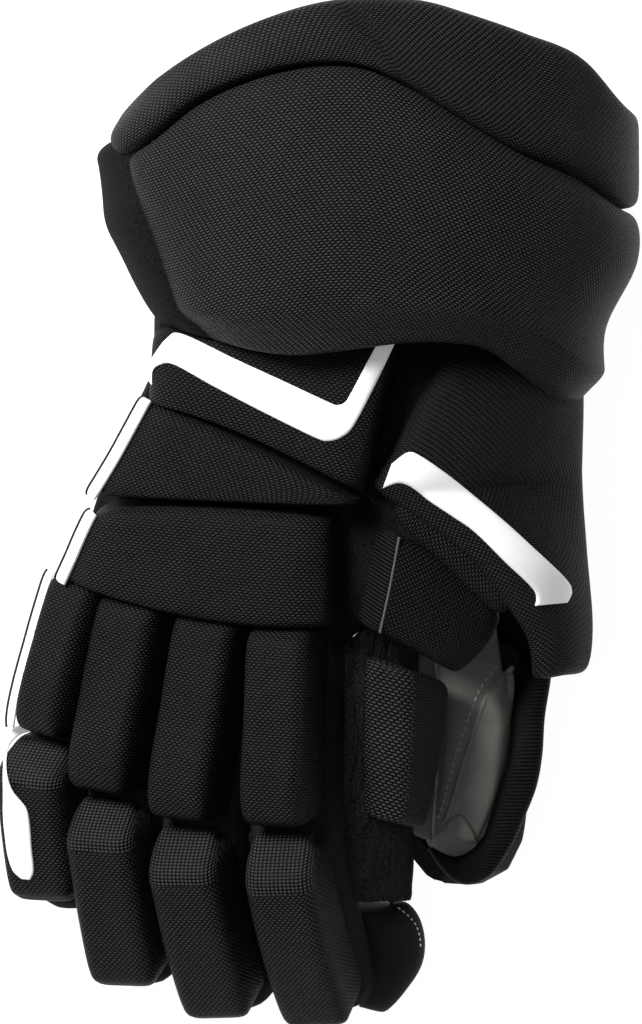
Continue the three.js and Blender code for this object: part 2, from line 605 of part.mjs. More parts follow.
const INDEX_GUSSET = [
  [[0.49, 0.425, 0.48], [0.565, 0.42, 0.49], [0.65, 0.395, 0.37]],
  [[0.485, 0.28, 0.44], [0.56, 0.28, 0.44], [0.635, 0.275, 0.34]],
  [[0.485, 0.2, 0.4], [0.56, 0.2, 0.39], [0.63, 0.2, 0.32]],
  [[0.515, 0.122, 0.32], [0.58, 0.122, 0.3], [0.64, 0.122, 0.23]],
];
const THUMB_WEB = [
  [[0.64, 0.37, 0.33], [0.68, 0.37, 0.3], [0.715, 0.37, 0.25]],
  [[0.628, 0.27, 0.31], [0.66, 0.27, 0.27], [0.7, 0.27, 0.22]],
  [[0.61, 0.2, 0.29], [0.645, 0.185, 0.25], [0.675, 0.18, 0.2]],
];
const INDEX_TIP_SIDE = [
  [[0.545, 0.118, 0.2], [0.585, 0.12, 0.2], [0.618, 0.122, 0.15]],
  [[0.55, 0.095, 0.17], [0.605, 0.095, 0.17], [0.652, 0.097, 0.12]],
  [[0.558, 0.07, 0.13], [0.61, 0.07, 0.14], [0.653, 0.07, 0.1]],
  [[0.565, 0.045, 0.09], [0.595, 0.045, 0.1], [0.622, 0.045, 0.08]],
  [[0.572, 0.02, 0.05], [0.577, 0.02, 0.06], [0.584, 0.02, 0.05]],
];
const SIDE_FOOT = -1; // how far the rolls' sides run down past their bases
const CROTCH_FOOT = -8;
const INDEX_UPPER_FOOT = -4;
const INDEX_LOWER_FOOT = -2;
const TIP_SIDE_FOOT = -2;
const GUSSET_WALL = 3;
const WEB_WALL = 2;
const CROTCH_FOAM = 10;
const INDEX_SIDE_FOAM = 12;
const TIP_SIDE_FOAM = 8;

function buildThumbSide(hand) {
  const lip = paddedWall(CUFF, cuffY, FRONT_PANEL, CLEARANCE);
  const thumb = stallCore(THUMB, CLEARANCE, THUMB_WIDTH, THUMB_DEPTH);
  const index = stallCore(FINGERS.index, CLEARANCE, STALL_WIDTHS.index, STALL_DEPTH);
  const indexTip = roll(tipRollAt(FINGERS.index), FINGER_FOAM, { foot: FINGER_FOOT, grow: CLEARANCE });
  const form = (rows, thickness, foot = 0) => roll(railAt(rows), thickness, { foot });
  const side = railAt(THUMB_SIDE_ROLL);
  const groove = faceStrip(side, SIDE_FOAM, THUMB_STRIPE, INLAY_WIDTH, GROOVE);
  const sideForm = form(THUMB_SIDE_ROLL, SIDE_FOAM, SIDE_FOOT);
  add("thumb_side_roll", cut(sideForm, hand, groove, wristCore(CLEARANCE), lip), weave);
  add("thumb_side_stripe", faceStrip(side, SIDE_FOAM, THUMB_STRIPE, INLAY_WIDTH), white);
  const { sideGrown, upperGrown } = thumbNeighbours();
  const gussetGrown = grownRoll(INDEX_GUSSET, GUSSET_WALL, 0);
  add("index_gusset", cut(form(INDEX_GUSSET, GUSSET_WALL), hand, index, indexTip), knit);
  const upper = form(INDEX_SIDE_UPPER_ROLL, INDEX_SIDE_FOAM, INDEX_UPPER_FOOT);
  add("index_side_upper_roll", cut(upper, hand, gussetGrown, sideGrown), weave);
  const lower = form(INDEX_SIDE_LOWER_ROLL, INDEX_SIDE_FOAM, INDEX_LOWER_FOOT);
  add("index_side_lower_roll", cut(lower, gussetGrown, upperGrown, index), weave);
  const crotch = form(CROTCH_ROLL, CROTCH_FOAM, CROTCH_FOOT);
  add("thumb_crotch_roll", cut(crotch, hand, sideGrown, upperGrown, groove), weave);
  add("thumb_web", cut(form(THUMB_WEB, WEB_WALL), hand, thumb, gussetGrown, upperGrown), suede);
  const tipSide = form(INDEX_TIP_SIDE, TIP_SIDE_FOAM, TIP_SIDE_FOOT);
  add("index_tip_side", cut(tipSide, index, indexTip, gussetGrown), weave);
}

// Rolls on rails, grown by the clearance, that the pieces beside them are cut back from
function grownRoll(rows, thickness, foot) {
  return roll(railAt(rows), thickness, { foot, grow: CLEARANCE });
}

function thumbNeighbours() {
  return {
    sideGrown: grownRoll(THUMB_SIDE_ROLL, SIDE_FOAM, SIDE_FOOT),
    upperGrown: grownRoll(INDEX_SIDE_UPPER_ROLL, INDEX_SIDE_FOAM, INDEX_UPPER_FOOT),
    crotchGrown: grownRoll(CROTCH_ROLL, CROTCH_FOAM, CROTCH_FOOT),
  };
}

// The thumb's padded shell is open towards the index finger: place and direction of the plane that opens it
const SHELL_START = 0.27; // share of the thumb's path
const SHELL_STEPS = [SHELL_START, 0.42, 0.58, 0.74, 0.88, 1, 1.55, 1.9];
const SHELL_FACING = new THREE.Vector3(-0.5, 0.16, 0.85).normalize();
const SHELL_OPENING = { x: 0.742, y: 0.25, z: 0.19, towards: SHELL_FACING };

// Everything on one side of a plane, out to the glove's length
function halfSpace({ x, y, z, towards }) {
  const block = new THREE.BoxGeometry(2 * GLOVE_LENGTH, 2 * GLOVE_LENGTH, GLOVE_LENGTH);
  block.translate(0, 0, GLOVE_LENGTH / 2);
  block.applyQuaternion(new THREE.Quaternion().setFromUnitVectors(new THREE.Vector3(0, 0, 1), towards));
  block.translate(atX(x), atY(y), atZ(z));
  return blockBody(block);
}

function buildThumb(hand) {
  add("thumb_stall", cut(stall(THUMB, LEATHER_WALL, THUMB_WIDTH, THUMB_DEPTH), hand), suede);
  const core = stallCore(THUMB, CLEARANCE, THUMB_WIDTH, THUMB_DEPTH);
  const shellLoop = (s) => stallLoop(THUMB, s, THUMB_FOAM, THUMB_WIDTH, THUMB_DEPTH);
  const form = loft(SHELL_STEPS.map(shellLoop), "poles");
  const { sideGrown, upperGrown, crotchGrown } = thumbNeighbours();
  const opening = halfSpace(SHELL_OPENING);
  add("thumb_shell", cut(form, opening, hand, core, sideGrown, upperGrown, crotchGrown), weave);
}

const hand = handCore(CLEARANCE);
buildCuff();
buildHand(stallCore(THUMB, -LEATHER_WALL, THUMB_WIDTH, THUMB_DEPTH));
buildFingers(hand);
buildBackhand(hand);
buildThumbSide(hand);
buildThumb(hand);

// The table, with the lowest cloth pressed flat on it
function tableSlab() {
  const block = new THREE.BoxGeometry(3 * GLOVE_WIDTH, 3 * GLOVE_LENGTH, GLOVE_HEIGHT);
  block.translate(0, 0, REST_HEIGHT - GLOVE_HEIGHT / 2);
  return blockBody(block);
}

const table = tableSlab();
for (const [name, { body, look }] of bodies) {
  const { numProp, vertProperties, triVerts } = body.subtract(table).getMesh();
  const geometry = new THREE.BufferGeometry();
  const positions = new Float32Array((vertProperties.length / numProp) * 3);
  for (let i = 0; i < positions.length / 3; i++)
    positions.set(vertProperties.subarray(i * numProp, i * numProp + 3), i * 3);
  geometry.setAttribute("position", new THREE.BufferAttribute(positions, 3));
  geometry.setIndex(new THREE.BufferAttribute(new Uint32Array(triVerts), 1));
  const mesh = new THREE.Mesh(geometry, look);
  mesh.name = name;
  glove.add(mesh);
}

// The origin is under the middle of the glove, on the table
const box = new THREE.Box3().setFromObject(glove);
const middle = box.getCenter(new THREE.Vector3());
for (const mesh of glove.children) mesh.geometry.translate(-middle.x, -middle.y, -box.min.z);

export default glove;
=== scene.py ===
"""Looks of an ice hockey glove for the right hand: woven foam rolls, white strips, suede and knitted lining.

Lengths are in millimetres until a mesh is made. Places in the tables are shares of the glove's overall sizes:
x from the little-finger side, y from the fingertips, z from the table.
"""

import math
from collections import namedtuple

import bmesh
import bpy
import numpy as np
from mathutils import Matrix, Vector
from mathutils.bvhtree import BVHTree


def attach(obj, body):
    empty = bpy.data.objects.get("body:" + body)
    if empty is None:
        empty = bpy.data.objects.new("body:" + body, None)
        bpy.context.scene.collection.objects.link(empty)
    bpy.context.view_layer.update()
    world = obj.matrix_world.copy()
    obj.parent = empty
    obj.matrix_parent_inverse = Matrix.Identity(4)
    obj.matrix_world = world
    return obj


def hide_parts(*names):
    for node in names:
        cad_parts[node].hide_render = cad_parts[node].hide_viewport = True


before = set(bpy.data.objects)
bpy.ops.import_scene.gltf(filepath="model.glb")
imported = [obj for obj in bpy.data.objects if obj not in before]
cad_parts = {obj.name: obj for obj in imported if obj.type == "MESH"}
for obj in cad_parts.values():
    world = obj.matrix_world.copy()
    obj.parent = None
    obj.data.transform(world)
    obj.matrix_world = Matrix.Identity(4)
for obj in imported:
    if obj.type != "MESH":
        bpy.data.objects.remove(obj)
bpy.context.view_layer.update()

MM = 0.001
GLOVE_LENGTH = 347
GLOVE_WIDTH = 217
GLOVE_HEIGHT = 130
ORIGIN = np.array([-2.375, 0.060, 2.0])  # where the frame's origin lies, in the tables' millimetres

BACKHAND_FOAM = 20
FINGER_FOAM = 17
SIDE_FOAM = 15
INDEX_SIDE_FOAM = 12
CROTCH_FOAM = 10
CUFF_FOAM = 14
NEAR_ROLL_WIDTH = 23
LITTLE_NEAR_WIDTH = 18.6
TIP_ROLL_WIDTH = 25
FINGER_ROLL_LENGTH = 62
FINGER_FOOT = -2  # height of a cover's edge over its base
BACKHAND_FOOT = -6
TIP_SIDE_FOAM = 8
WEAVE_PITCH = 1.9
REST = 0.0001  # metres between the lowest cloth and the table
SURFACE_STEP = 1.3  # distance between the points of a woven surface


# Places and curves

def place(x, y, z):
    """Point in the frame, in millimetres, of places in shares."""
    x, y, z = np.broadcast_arrays(x, y, z)
    sizes = np.array([GLOVE_WIDTH, GLOVE_LENGTH, GLOVE_HEIGHT])
    return (np.stack([x, y, z], -1) - [0.5, 0.5, 0]) * sizes - ORIGIN


def along(rows, t):
    """Rows at shares t of the way through a table, on a smooth curve."""
    rows = np.asarray(rows, float)
    last = len(rows) - 1
    spot = np.clip(t, 0, 1) * last
    i = np.minimum(np.floor(spot).astype(int), last - 1)
    f = (spot - i)[..., None]

    def value(k):
        return rows[np.clip(k, 0, last)]

    slope_in = (value(i + 1) - value(i - 1)) / 2
    slope_out = (value(i + 2) - value(i)) / 2
    rise = value(i + 1) - value(i)
    bend = 3 * rise - 2 * slope_in - slope_out
    return value(i) + f * (slope_in + f * (bend + f * (slope_in + slope_out - 2 * rise)))


def unit(vectors):
    return vectors / np.maximum(np.linalg.norm(vectors, axis=-1, keepdims=True), 1e-9)


def smooth(t):
    t = np.clip(t, 0, 1)
    return t * t * (3 - 2 * t)


def upward(normal):
    return np.where(normal[..., 2:] < 0, -normal, normal)


# Surfaces that the rolls stand on

# For arrays u (across) and v (along), from -1 to 1, each surface gives base points and foam directions.

FINGER_STEP = 0.02  # share of a finger's path over which its direction is taken
RAIL_STEP = 0.02  # the same on a surface of rails, in shares from -1 to 1
LAST_START = 0.97  # share of a finger's path after which its direction stays the same
PATH_SHARE = 0.4  # length of a finger's path, as a share of the glove's

FINGERS = {  # columns x, y, z, lean
    "index": [(0.452, 0.4, 0.53, 20), (0.447, 0.3, 0.505, 20), (0.441, 0.204, 0.47, 19),
              (0.466, 0.112, 0.37, 17), (0.505, 0.03, 0.19, 15)],
    "middle": [(0.345, 0.413, 0.465, 23), (0.32, 0.31, 0.435, 24), (0.297, 0.208, 0.405, 24),
               (0.317, 0.12, 0.32, 21), (0.353, 0.034, 0.17, 18)],
    "ring": [(0.23, 0.428, 0.4, 26), (0.2, 0.33, 0.372, 28), (0.174, 0.234, 0.34, 27),
             (0.186, 0.152, 0.275, 24), (0.209, 0.062, 0.15, 20)],
    "little": [(0.142, 0.444, 0.33, 30), (0.109, 0.37, 0.31, 33), (0.078, 0.29, 0.28, 33),
               (0.075, 0.218, 0.22, 30), (0.088, 0.14, 0.152, 26)],
}


def finger_base(path, start, end, width, shift=0.0):
    """Back of a finger between two shares of its path, off its middle by a shift."""
    def base(u, v):
        s = (start + end) / 2 + (end - start) / 2 * v
        rows = along(path, s)
        ahead = along(path, np.minimum(s + FINGER_STEP, 1))
        behind = along(path, np.clip(s - FINGER_STEP, 0, LAST_START))
        tangent = unit(to_points(ahead) - to_points(behind))
        lean = np.radians(rows[..., 3])
        level = np.stack([np.cos(lean), 0 * lean, np.sin(lean)], -1)
        normal = upward(unit(np.cross(tangent, level)))
        across = unit(np.cross(normal, tangent))
        across = np.where(across[..., :1] < 0, -across, across)
        beyond = np.maximum(s - 1, 0)[..., None] * GLOVE_LENGTH * PATH_SHARE
        return to_points(rows) + tangent * beyond + across * (shift + u * width / 2)[..., None], normal
    return base


def to_points(rows):
    return place(rows[..., 0], rows[..., 1], rows[..., 2])


def rail_base(rows):
    """Surface on three rails: each row holds the near, middle and far rail's place."""
    rails = np.array([[place(*p) for p in row] for row in rows])

    def point(u, v):
        t = (v + 1) / 2
        near, middle, far = (along(rails[:, k], t) for k in range(3))
        u = u[..., None]
        spot = near * (u * (u - 1) / 2) + middle * (1 - u * u) + far * (u * (u + 1) / 2)
        # Past its ends the surface goes on straight
        beyond = (v - np.clip(v, -1, 1))[..., None]
        step = middle - along(rails[:, 1], t - np.sign(v) * 0.1)
        return spot + step * np.abs(beyond) * 5

    def base(u, v):
        u, v = np.broadcast_arrays(u, v)
        cu, cv = np.clip(u, RAIL_STEP - 1, 1 - RAIL_STEP), np.clip(v, RAIL_STEP - 1, 1 - RAIL_STEP)
        du = point(cu + RAIL_STEP, cv) - point(cu - RAIL_STEP, cv)
        dv = point(cu, cv + RAIL_STEP) - point(cu, cv - RAIL_STEP)
        return point(u, v), upward(unit(np.cross(du, dv)))
    return base


# Meshes

def lengths(points, axis):
    """Running length over a grid of points along one axis, from its middle."""
    steps = np.linalg.norm(np.diff(points, axis=axis), axis=-1)
    start = np.zeros_like(np.take(steps, [0], axis))
    total = np.concatenate([start, np.cumsum(steps, axis)], axis)
    return total - np.take(total, [total.shape[axis] // 2], axis)


def grid_mesh(name, points, closed=False, cap=False, flip=False):
    """Mesh of a grid of points, with the lengths over its surface as its map. cap closes it underneath."""
    rows, cols = points.shape[:2]
    index = np.arange(rows * cols).reshape(rows, cols)
    right = np.roll(index, -1, 1) if closed else index[:, 1:]
    left = index if closed else index[:, :-1]
    quads = np.stack([left[:-1], right[:-1], right[1:], left[1:]], -1).reshape(-1, 4)
    faces = [tuple(q) for q in quads.tolist()]
    verts = points.reshape(-1, 3)
    if cap:
        ring = [*index[0, :-1], *index[:-1, -1], *index[-1, :0:-1], *index[:0:-1, 0]]
        inner = verts[ring] * 0.5 + verts[ring].mean(0) * 0.5
        centre = len(verts)
        verts = np.vstack([verts, inner, verts[ring].mean(0)])
        hub = len(verts) - 1
        for k in range(len(ring)):
            n = (k + 1) % len(ring)
            faces.append((int(ring[k]), centre + k, centre + n, int(ring[n])))
            faces.append((centre + k, hub, centre + n))
    if flip:
        faces = [f[::-1] for f in faces]
    mesh = bpy.data.meshes.new(name)
    mesh.from_pydata((verts * MM).tolist(), [], faces)
    flat = np.zeros((len(verts), 2))
    flat[:rows * cols] = np.stack([lengths(points, 1), lengths(points, 0)], -1).reshape(-1, 2)
    layer = mesh.uv_layers.new(name="cloth")
    loops = np.zeros(len(mesh.loops), int)
    mesh.loops.foreach_get("vertex_index", loops)
    layer.data.foreach_set("uv", flat[loops].astype(np.float32).ravel())
    mesh.polygons.foreach_set("use_smooth", [True] * len(mesh.polygons))
    mesh.update()
    obj = bpy.data.objects.new(name, mesh)
    bpy.context.scene.collection.objects.link(obj)
    return obj


def face_out(obj):
    """Turns a closed mesh's faces outwards."""
    mesh = obj.data
    volume = 0.0
    for poly in mesh.polygons:
        corners = [mesh.vertices[i].co for i in poly.vertices]
        for k in range(1, len(corners) - 1):
            volume += corners[0].dot(corners[k].cross(corners[k + 1]))
    if volume < 0:
        mesh.flip_normals()


def join(obj, other):
    work = bmesh.new()
    work.from_mesh(obj.data)
    work.from_mesh(other.data)
    work.to_mesh(obj.data)
    work.free()
    bpy.data.objects.remove(other)


def weld(obj, distance):
    work = bmesh.new()
    work.from_mesh(obj.data)
    bmesh.ops.remove_doubles(work, verts=work.verts, dist=distance * MM)
    work.to_mesh(obj.data)
    work.free()
    obj.data.polygons.foreach_set("use_smooth", [True] * len(obj.data.polygons))


def close_ends(obj):
    work = bmesh.new()
    work.from_mesh(obj.data)
    bmesh.ops.holes_fill(work, edges=work.edges, sides=0)
    work.to_mesh(obj.data)
    work.free()


def shown(obj, nodes, look):
    """Puts a piece in place of CAD nodes, with its material."""
    obj.data.materials.clear()
    obj.data.materials.append(look)
    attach(obj, "root")
    if nodes:
        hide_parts(*nodes)
    return obj


def signed_power(values, power):
    return np.sign(values) * np.abs(values) ** power


# Edge and rise powers, spread of the foot in mm, bevel, and how far the corners are drawn in, in mm
Shape = namedtuple("Shape", "edge rise flare bevel corner", defaults=(1.3,))
PROFILE_POINTS = 4001
CORNER_POWER = 6  # the higher it is, the closer to the corners they are drawn in
END_FLARE = 0.4  # part of the foot's spread at a roll's two ends


def even_profile(half_width, thickness, shape):
    """Shares across and shares of height at even steps over a roll's rounded outline."""
    turn = np.linspace(0, math.pi, PROFILE_POINTS)
    across = signed_power(-np.cos(turn), shape.edge)
    height = np.sin(turn) ** shape.rise
    steps = np.hypot(np.diff(across) * half_width, np.diff(height) * thickness)
    run = np.concatenate([[0], np.cumsum(steps)])
    spots = np.linspace(0, run[-1], max(16, int(run[-1] / SURFACE_STEP)))
    return np.interp(spots, run, across), np.interp(spots, run, height)


def pillow_points(base, thickness, foot, size, shape):
    """Grid of points over a padded roll, with shares across and along: size is its width and length."""
    half_width, half_length = size[0] / 2, size[1] / 2
    u, rise_across = even_profile(half_width, thickness - foot, shape)
    v, rise_along = even_profile(half_length, thickness - foot, shape)
    u, rise_across = u[None, :] + 0 * v[:, None], rise_across[None, :] + 0 * v[:, None]
    v, rise_along = v[:, None] + 0 * u, rise_along[:, None] + 0 * u
    corner = shape.corner * (np.abs(u) * np.abs(v)) ** CORNER_POWER
    spread_u = (shape.flare * (1 - rise_across) - corner) / half_width
    spread_v = (END_FLARE * shape.flare * (1 - rise_along) - corner) / half_length
    height = rise_across * rise_along
    if shape.bevel:
        height = height * shape.bevel(u, v)
    points, normal = base(u * (1 + spread_u), v * (1 + spread_v))
    return points + normal * (foot + (thickness - foot) * height)[..., None], u, v


def ramp(values, start, end, low):
    """1 past end, falling to low at start."""
    return low + (1 - low) * smooth((values - start) / (end - start))


def roll(name, base, thickness, foot, size, look, nodes, shape, trim=None):
    """Padded roll on a base, with its edge at the height foot over the base.

    size is its width and length, and trim a second material and a test of where it lies, from u and v.
    """
    points, u, v = pillow_points(base, thickness, foot, size, shape)
    obj = grid_mesh(name, points, cap=True)
    face_out(obj)
    shown(obj, nodes, look)
    if trim:
        obj.data.materials.append(trim[0])
        there = trim[1](u, v)[:-1, :-1].ravel()
        for poly, inside in zip(obj.data.polygons, there):
            poly.material_index = int(inside)
    return obj


TUBE_SIDES = 8


def tube(name, path, radius):
    """Round cord along points."""
    forward = unit(np.gradient(path, axis=0))
    side = unit(np.cross(forward, [0, 0, 1.0]))
    up = np.cross(side, forward)
    angles = np.linspace(0, 2 * math.pi, TUBE_SIDES, endpoint=False)
    rings = path[:, None] + radius * (side[:, None] * np.cos(angles)[None, :, None]
                                      + up[:, None] * np.sin(angles)[None, :, None])
    obj = grid_mesh(name, rings, closed=True)
    close_ends(obj)
    face_out(obj)
    return obj


# Materials

def socket(tree, value, target):
    if isinstance(value, (int, float, tuple)):
        target.default_value = value
    else:
        tree.links.new(value, target)


def maths(tree, operation, *values, clamp=False):
    node = tree.nodes.new("ShaderNodeMath")
    node.operation = operation
    node.use_clamp = clamp
    for value, target in zip(values, node.inputs):
        socket(tree, value, target)
    return node.outputs[0]


def mix(tree, factor, first, second):
    node = tree.nodes.new("ShaderNodeMix")
    node.data_type = "RGBA"
    socket(tree, factor, node.inputs[0])
    socket(tree, first, node.inputs[6])
    socket(tree, second, node.inputs[7])
    return node.outputs[2]


def noise(tree, coordinates, scale, detail=2.0):
    node = tree.nodes.new("ShaderNodeTexNoise")
    node.inputs["Scale"].default_value = scale
    node.inputs["Detail"].default_value = detail
    tree.links.new(coordinates, node.inputs["Vector"])
    return node.outputs["Fac"]


def new_material(name, roughness, specular):
    material = bpy.data.materials.new(name)
    material.use_nodes = True
    tree = material.node_tree
    surface = tree.nodes["Principled BSDF"]
    surface.inputs["Roughness"].default_value = roughness
    surface.inputs["Specular IOR Level"].default_value = specular
    return material, tree, surface


def bump(tree, surface, height, depth):
    node = tree.nodes.new("ShaderNodeBump")
    node.inputs["Strength"].default_value = 1.0
    node.inputs["Distance"].default_value = depth * MM
    tree.links.new(height, node.inputs["Height"])
    tree.links.new(node.outputs["Normal"], surface.inputs["Normal"])


def object_place(tree):
    return tree.nodes.new("ShaderNodeTexCoord").outputs["Object"]


def cloth_map(tree):
    """The map's two lengths, in millimetres."""
    map_node = tree.nodes.new("ShaderNodeUVMap")
    map_node.uv_map = "cloth"
    split = tree.nodes.new("ShaderNodeSeparateXYZ")
    tree.links.new(map_node.outputs[0], split.inputs[0])
    return split.outputs[0], split.outputs[1]


def weave_height(tree, pitch, row_pitch, stagger):
    """Threads in rows, from 0 in the gaps to 1 on top."""
    across, length = cloth_map(tree)
    row = maths(tree, "DIVIDE", length, row_pitch)
    shift = maths(tree, "MULTIPLY", maths(tree, "FLOOR", row), stagger)
    column = maths(tree, "ADD", maths(tree, "DIVIDE", across, pitch), shift)
    x = maths(tree, "SUBTRACT", maths(tree, "FRACT", column), 0.5)
    y = maths(tree, "SUBTRACT", maths(tree, "FRACT", row), 0.5)
    wide = maths(tree, "POWER", maths(tree, "ABSOLUTE", maths(tree, "MULTIPLY", x, 2.15)), 2.6)
    tall = maths(tree, "POWER", maths(tree, "ABSOLUTE", maths(tree, "MULTIPLY", y, 2.1)), 2.2)
    left = maths(tree, "SUBTRACT", 1.0, maths(tree, "ADD", wide, tall), clamp=True)
    return maths(tree, "POWER", left, 0.8)


WEAVE_GAP_SHADE = 0.001  # brightness of the gaps between a weave's threads, far darker than the cloth: painted shade


def weave_material(name, light, pitch=WEAVE_PITCH, row_pitch=0.5 * WEAVE_PITCH, stagger=0.5):
    """Woven cloth, with steps of pitch across and row_pitch along, and each row shifted by stagger. Its gaps
    are painted near black as shade.
    """
    material, tree, surface = new_material(name, 0.5, 0.08)
    height = weave_height(tree, pitch, row_pitch, stagger)
    spots = object_place(tree)
    fade = noise(tree, spots, 60)
    tone = maths(tree, "MULTIPLY_ADD", fade, 0.5, 0.75)
    dark = WEAVE_GAP_SHADE
    thread = mix(tree, height, (dark, dark, dark * 1.05, 1), (light, light, light * 1.04, 1))
    shade = tree.nodes.new("ShaderNodeHueSaturation")
    tree.links.new(thread, shade.inputs["Color"])
    tree.links.new(tone, shade.inputs["Value"])
    tree.links.new(shade.outputs[0], surface.inputs["Base Color"])
    fuzz = noise(tree, spots, 2600)
    bump(tree, surface, maths(tree, "MULTIPLY_ADD", fuzz, 0.3, height), 0.7)
    return material


def knit_material(name, tone=0.006, wrinkle=0.0):
    """Knitted net of small holes, with wrinkles along the hand."""
    material, tree, surface = new_material(name, 0.9, 0.08)
    spots = object_place(tree)
    cells = tree.nodes.new("ShaderNodeTexVoronoi")
    cells.inputs["Scale"].default_value = 1100
    tree.links.new(spots, cells.inputs["Vector"])
    colour = mix(tree, cells.outputs["Distance"], (tone * 1.6,) * 3 + (1,), (tone * 0.2,) * 3 + (1,))
    tree.links.new(colour, surface.inputs["Base Color"])
    threads = maths(tree, "SUBTRACT", 1.0, cells.outputs["Distance"])
    if not wrinkle:
        bump(tree, surface, threads, 0.3)
        return material
    squeezed = tree.nodes.new("ShaderNodeMapping")
    squeezed.inputs["Scale"].default_value = (1, 0.12, 1)
    tree.links.new(spots, squeezed.inputs["Vector"])
    folds = noise(tree, squeezed.outputs[0], 210, 3.0)
    bump(tree, surface, maths(tree, "MULTIPLY_ADD", folds, wrinkle, threads), 0.4)
    return material


def suede_material(name, tone):
    material, tree, surface = new_material(name, 0.85, 0.08)
    spots = object_place(tree)
    cloud = noise(tree, spots, 90, 4.0)
    grain = noise(tree, spots, 2200, 3.0)
    dark = (tone * 0.72, tone * 0.74, tone * 0.68, 1)
    light = (tone * 1.25, tone * 1.28, tone * 1.17, 1)
    tree.links.new(mix(tree, cloud, dark, light), surface.inputs["Base Color"])
    bump(tree, surface, maths(tree, "MULTIPLY_ADD", cloud, 0.4, grain), 0.25)
    return material


def leather_material(name, colour, roughness=0.42, grain_depth=0.05, specular=0.2, painted_light_glow=0.0):
    material, tree, surface = new_material(name, roughness, specular)
    # painted_light_glow makes the surface give off its own colour, so its shaded parts stay bright: painted
    # light
    surface.inputs["Emission Color"].default_value = colour + (1,)
    surface.inputs["Emission Strength"].default_value = painted_light_glow
    spots = object_place(tree)
    tone = mix(tree, noise(tree, spots, 70), tuple(c * 0.94 for c in colour) + (1,), colour + (1,))
    tree.links.new(tone, surface.inputs["Base Color"])
    bump(tree, surface, noise(tree, spots, 1500, 3.0), grain_depth)
    return material


def thread_material(name, tone):
    material, tree, surface = new_material(name, 0.7, 0.2)
    spots = object_place(tree)
    colour = mix(tree, noise(tree, spots, 2500), (tone * 0.8,) * 3 + (1,), (tone,) * 3 + (1,))
    tree.links.new(colour, surface.inputs["Base Color"])
    return material


WEAVE = weave_material("basket weave", 0.027)
# Lighter copy of the basket weave for the cuff: painted light where the cuff leans towards the key lamp.
CUFF_WEAVE_LIT = weave_material("cuff basket weave with painted light", 0.045)
RIBBED = weave_material("ribbed weave", 0.05, pitch=1.45, row_pitch=1.2, stagger=0)
COARSE = weave_material("coarse weave", 0.045, pitch=2.3, row_pitch=1.15)
BINDING = weave_material("ribbed binding", 0.012, pitch=60, row_pitch=1.3, stagger=0)
KNIT = knit_material("knitted lining")
NET = knit_material("gusset net", 0.016, 9.0)
SUEDE = suede_material("grey suede", 0.2)
# A lighter copy of the grey suede: painted light on the panel right of the thumb's fold, and a painted
# highlight on the fold and on the folded corner.
LIT_SUEDE = suede_material("grey suede with painted light", 0.23)
PALM = suede_material("dark palm suede", 0.012)
# The white leather glows a little: painted light that keeps its shaded parts near white.
WHITE = leather_material("white leather with painted glow", (0.86, 0.86, 0.85), painted_light_glow=0.2)
BLACK_LEATHER = leather_material("smooth black leather", (0.014, 0.014, 0.014), 0.6, 0.12, 0.1)
WHITE_THREAD = thread_material("white thread", 0.75)
GREY_THREAD = thread_material("grey thread", 0.42)
PIPING = thread_material("black piping", 0.01)
WELT = thread_material("grey welt", 0.09)


# White strips and seams beside the rolls

SIDE_STRIP_END = 0.97  # share along a roll where the strip beside it ends
SIDE_STRIP_PLACE = -0.965  # share across the roll at the strip's top
SIDE_STRIP_TOP = 0.93  # share of the roll's thickness there
SIDE_STRIP_BACK = 1.5  # from the strip's top back into the roll
SIDE_STRIP_INSET = 0.8  # how far inside the roll its face starts
SIDE_STRIP_NARROWING = 0.3  # part of its width that is lost at its two ends
SIDE_STRIP_END_POWER = 12  # the higher it is, the shorter the narrowed ends
SIDE_STRIP_FALL_POWER = 2.2  # the higher it is, the steeper its foot
SIDE_STRIP_REACH = 1.05  # the higher it is, the sooner its face has its full width
SIDE_STRIP_POINTS = (60, 14)  # along it and down it
PIPING_RADIUS = 0.55


def side_strip(name, node, base, thickness, wall, drop=11.0):
    """White strip beside a roll on the little-finger side, with black piping along its outer foot."""
    v = np.linspace(-SIDE_STRIP_END, SIDE_STRIP_END, SIDE_STRIP_POINTS[0])
    top, normal = base(SIDE_STRIP_PLACE + 0 * v, v)
    top = top + normal * SIDE_STRIP_TOP * thickness
    out = np.gradient(top, axis=0)
    out = unit(np.stack([-out[:, 1], out[:, 0], 0 * v], -1))
    out = np.where(out[:, :1] > 0, -out, out)[:, None]
    turn = np.linspace(0, 1, SIDE_STRIP_POINTS[1])[None, :, None]
    down = np.array([0, 0, -1.0])
    ends = np.abs(v / SIDE_STRIP_END) ** SIDE_STRIP_END_POWER
    width = wall * (1 - SIDE_STRIP_NARROWING * ends)[:, None, None]
    aside = width * smooth(turn * SIDE_STRIP_REACH) - SIDE_STRIP_INSET
    face = top[:, None] + out * aside + down * drop * turn ** SIDE_STRIP_FALL_POWER
    back = top[:, None] - out * SIDE_STRIP_BACK + down * (1 + drop * turn)
    obj = grid_mesh(name, np.concatenate([face, back[:, ::-1]], 1), closed=True)
    close_ends(obj)
    face_out(obj)
    shown(obj, [node], WHITE)
    cord = tube(name + "_piping", face[:, -2] + out[:, 0] * 0.2, PIPING_RADIUS)
    shown(cord, [], PIPING)


WELT_RADIUS = 0.5
WELT_END = 0.93  # share along a roll where its raised seam ends
WELT_SINK = 0.3


def welt(name, base, thickness, u):
    """Raised seam along a roll, at a share across it."""
    v = np.linspace(-WELT_END, WELT_END, 50)
    line, normal = base(u + 0 * v, v)
    shown(tube(name, line + normal * (thickness - WELT_SINK), WELT_RADIUS), [], WELT)


# Lining, palm and other plain pieces, rounded from the CAD solids

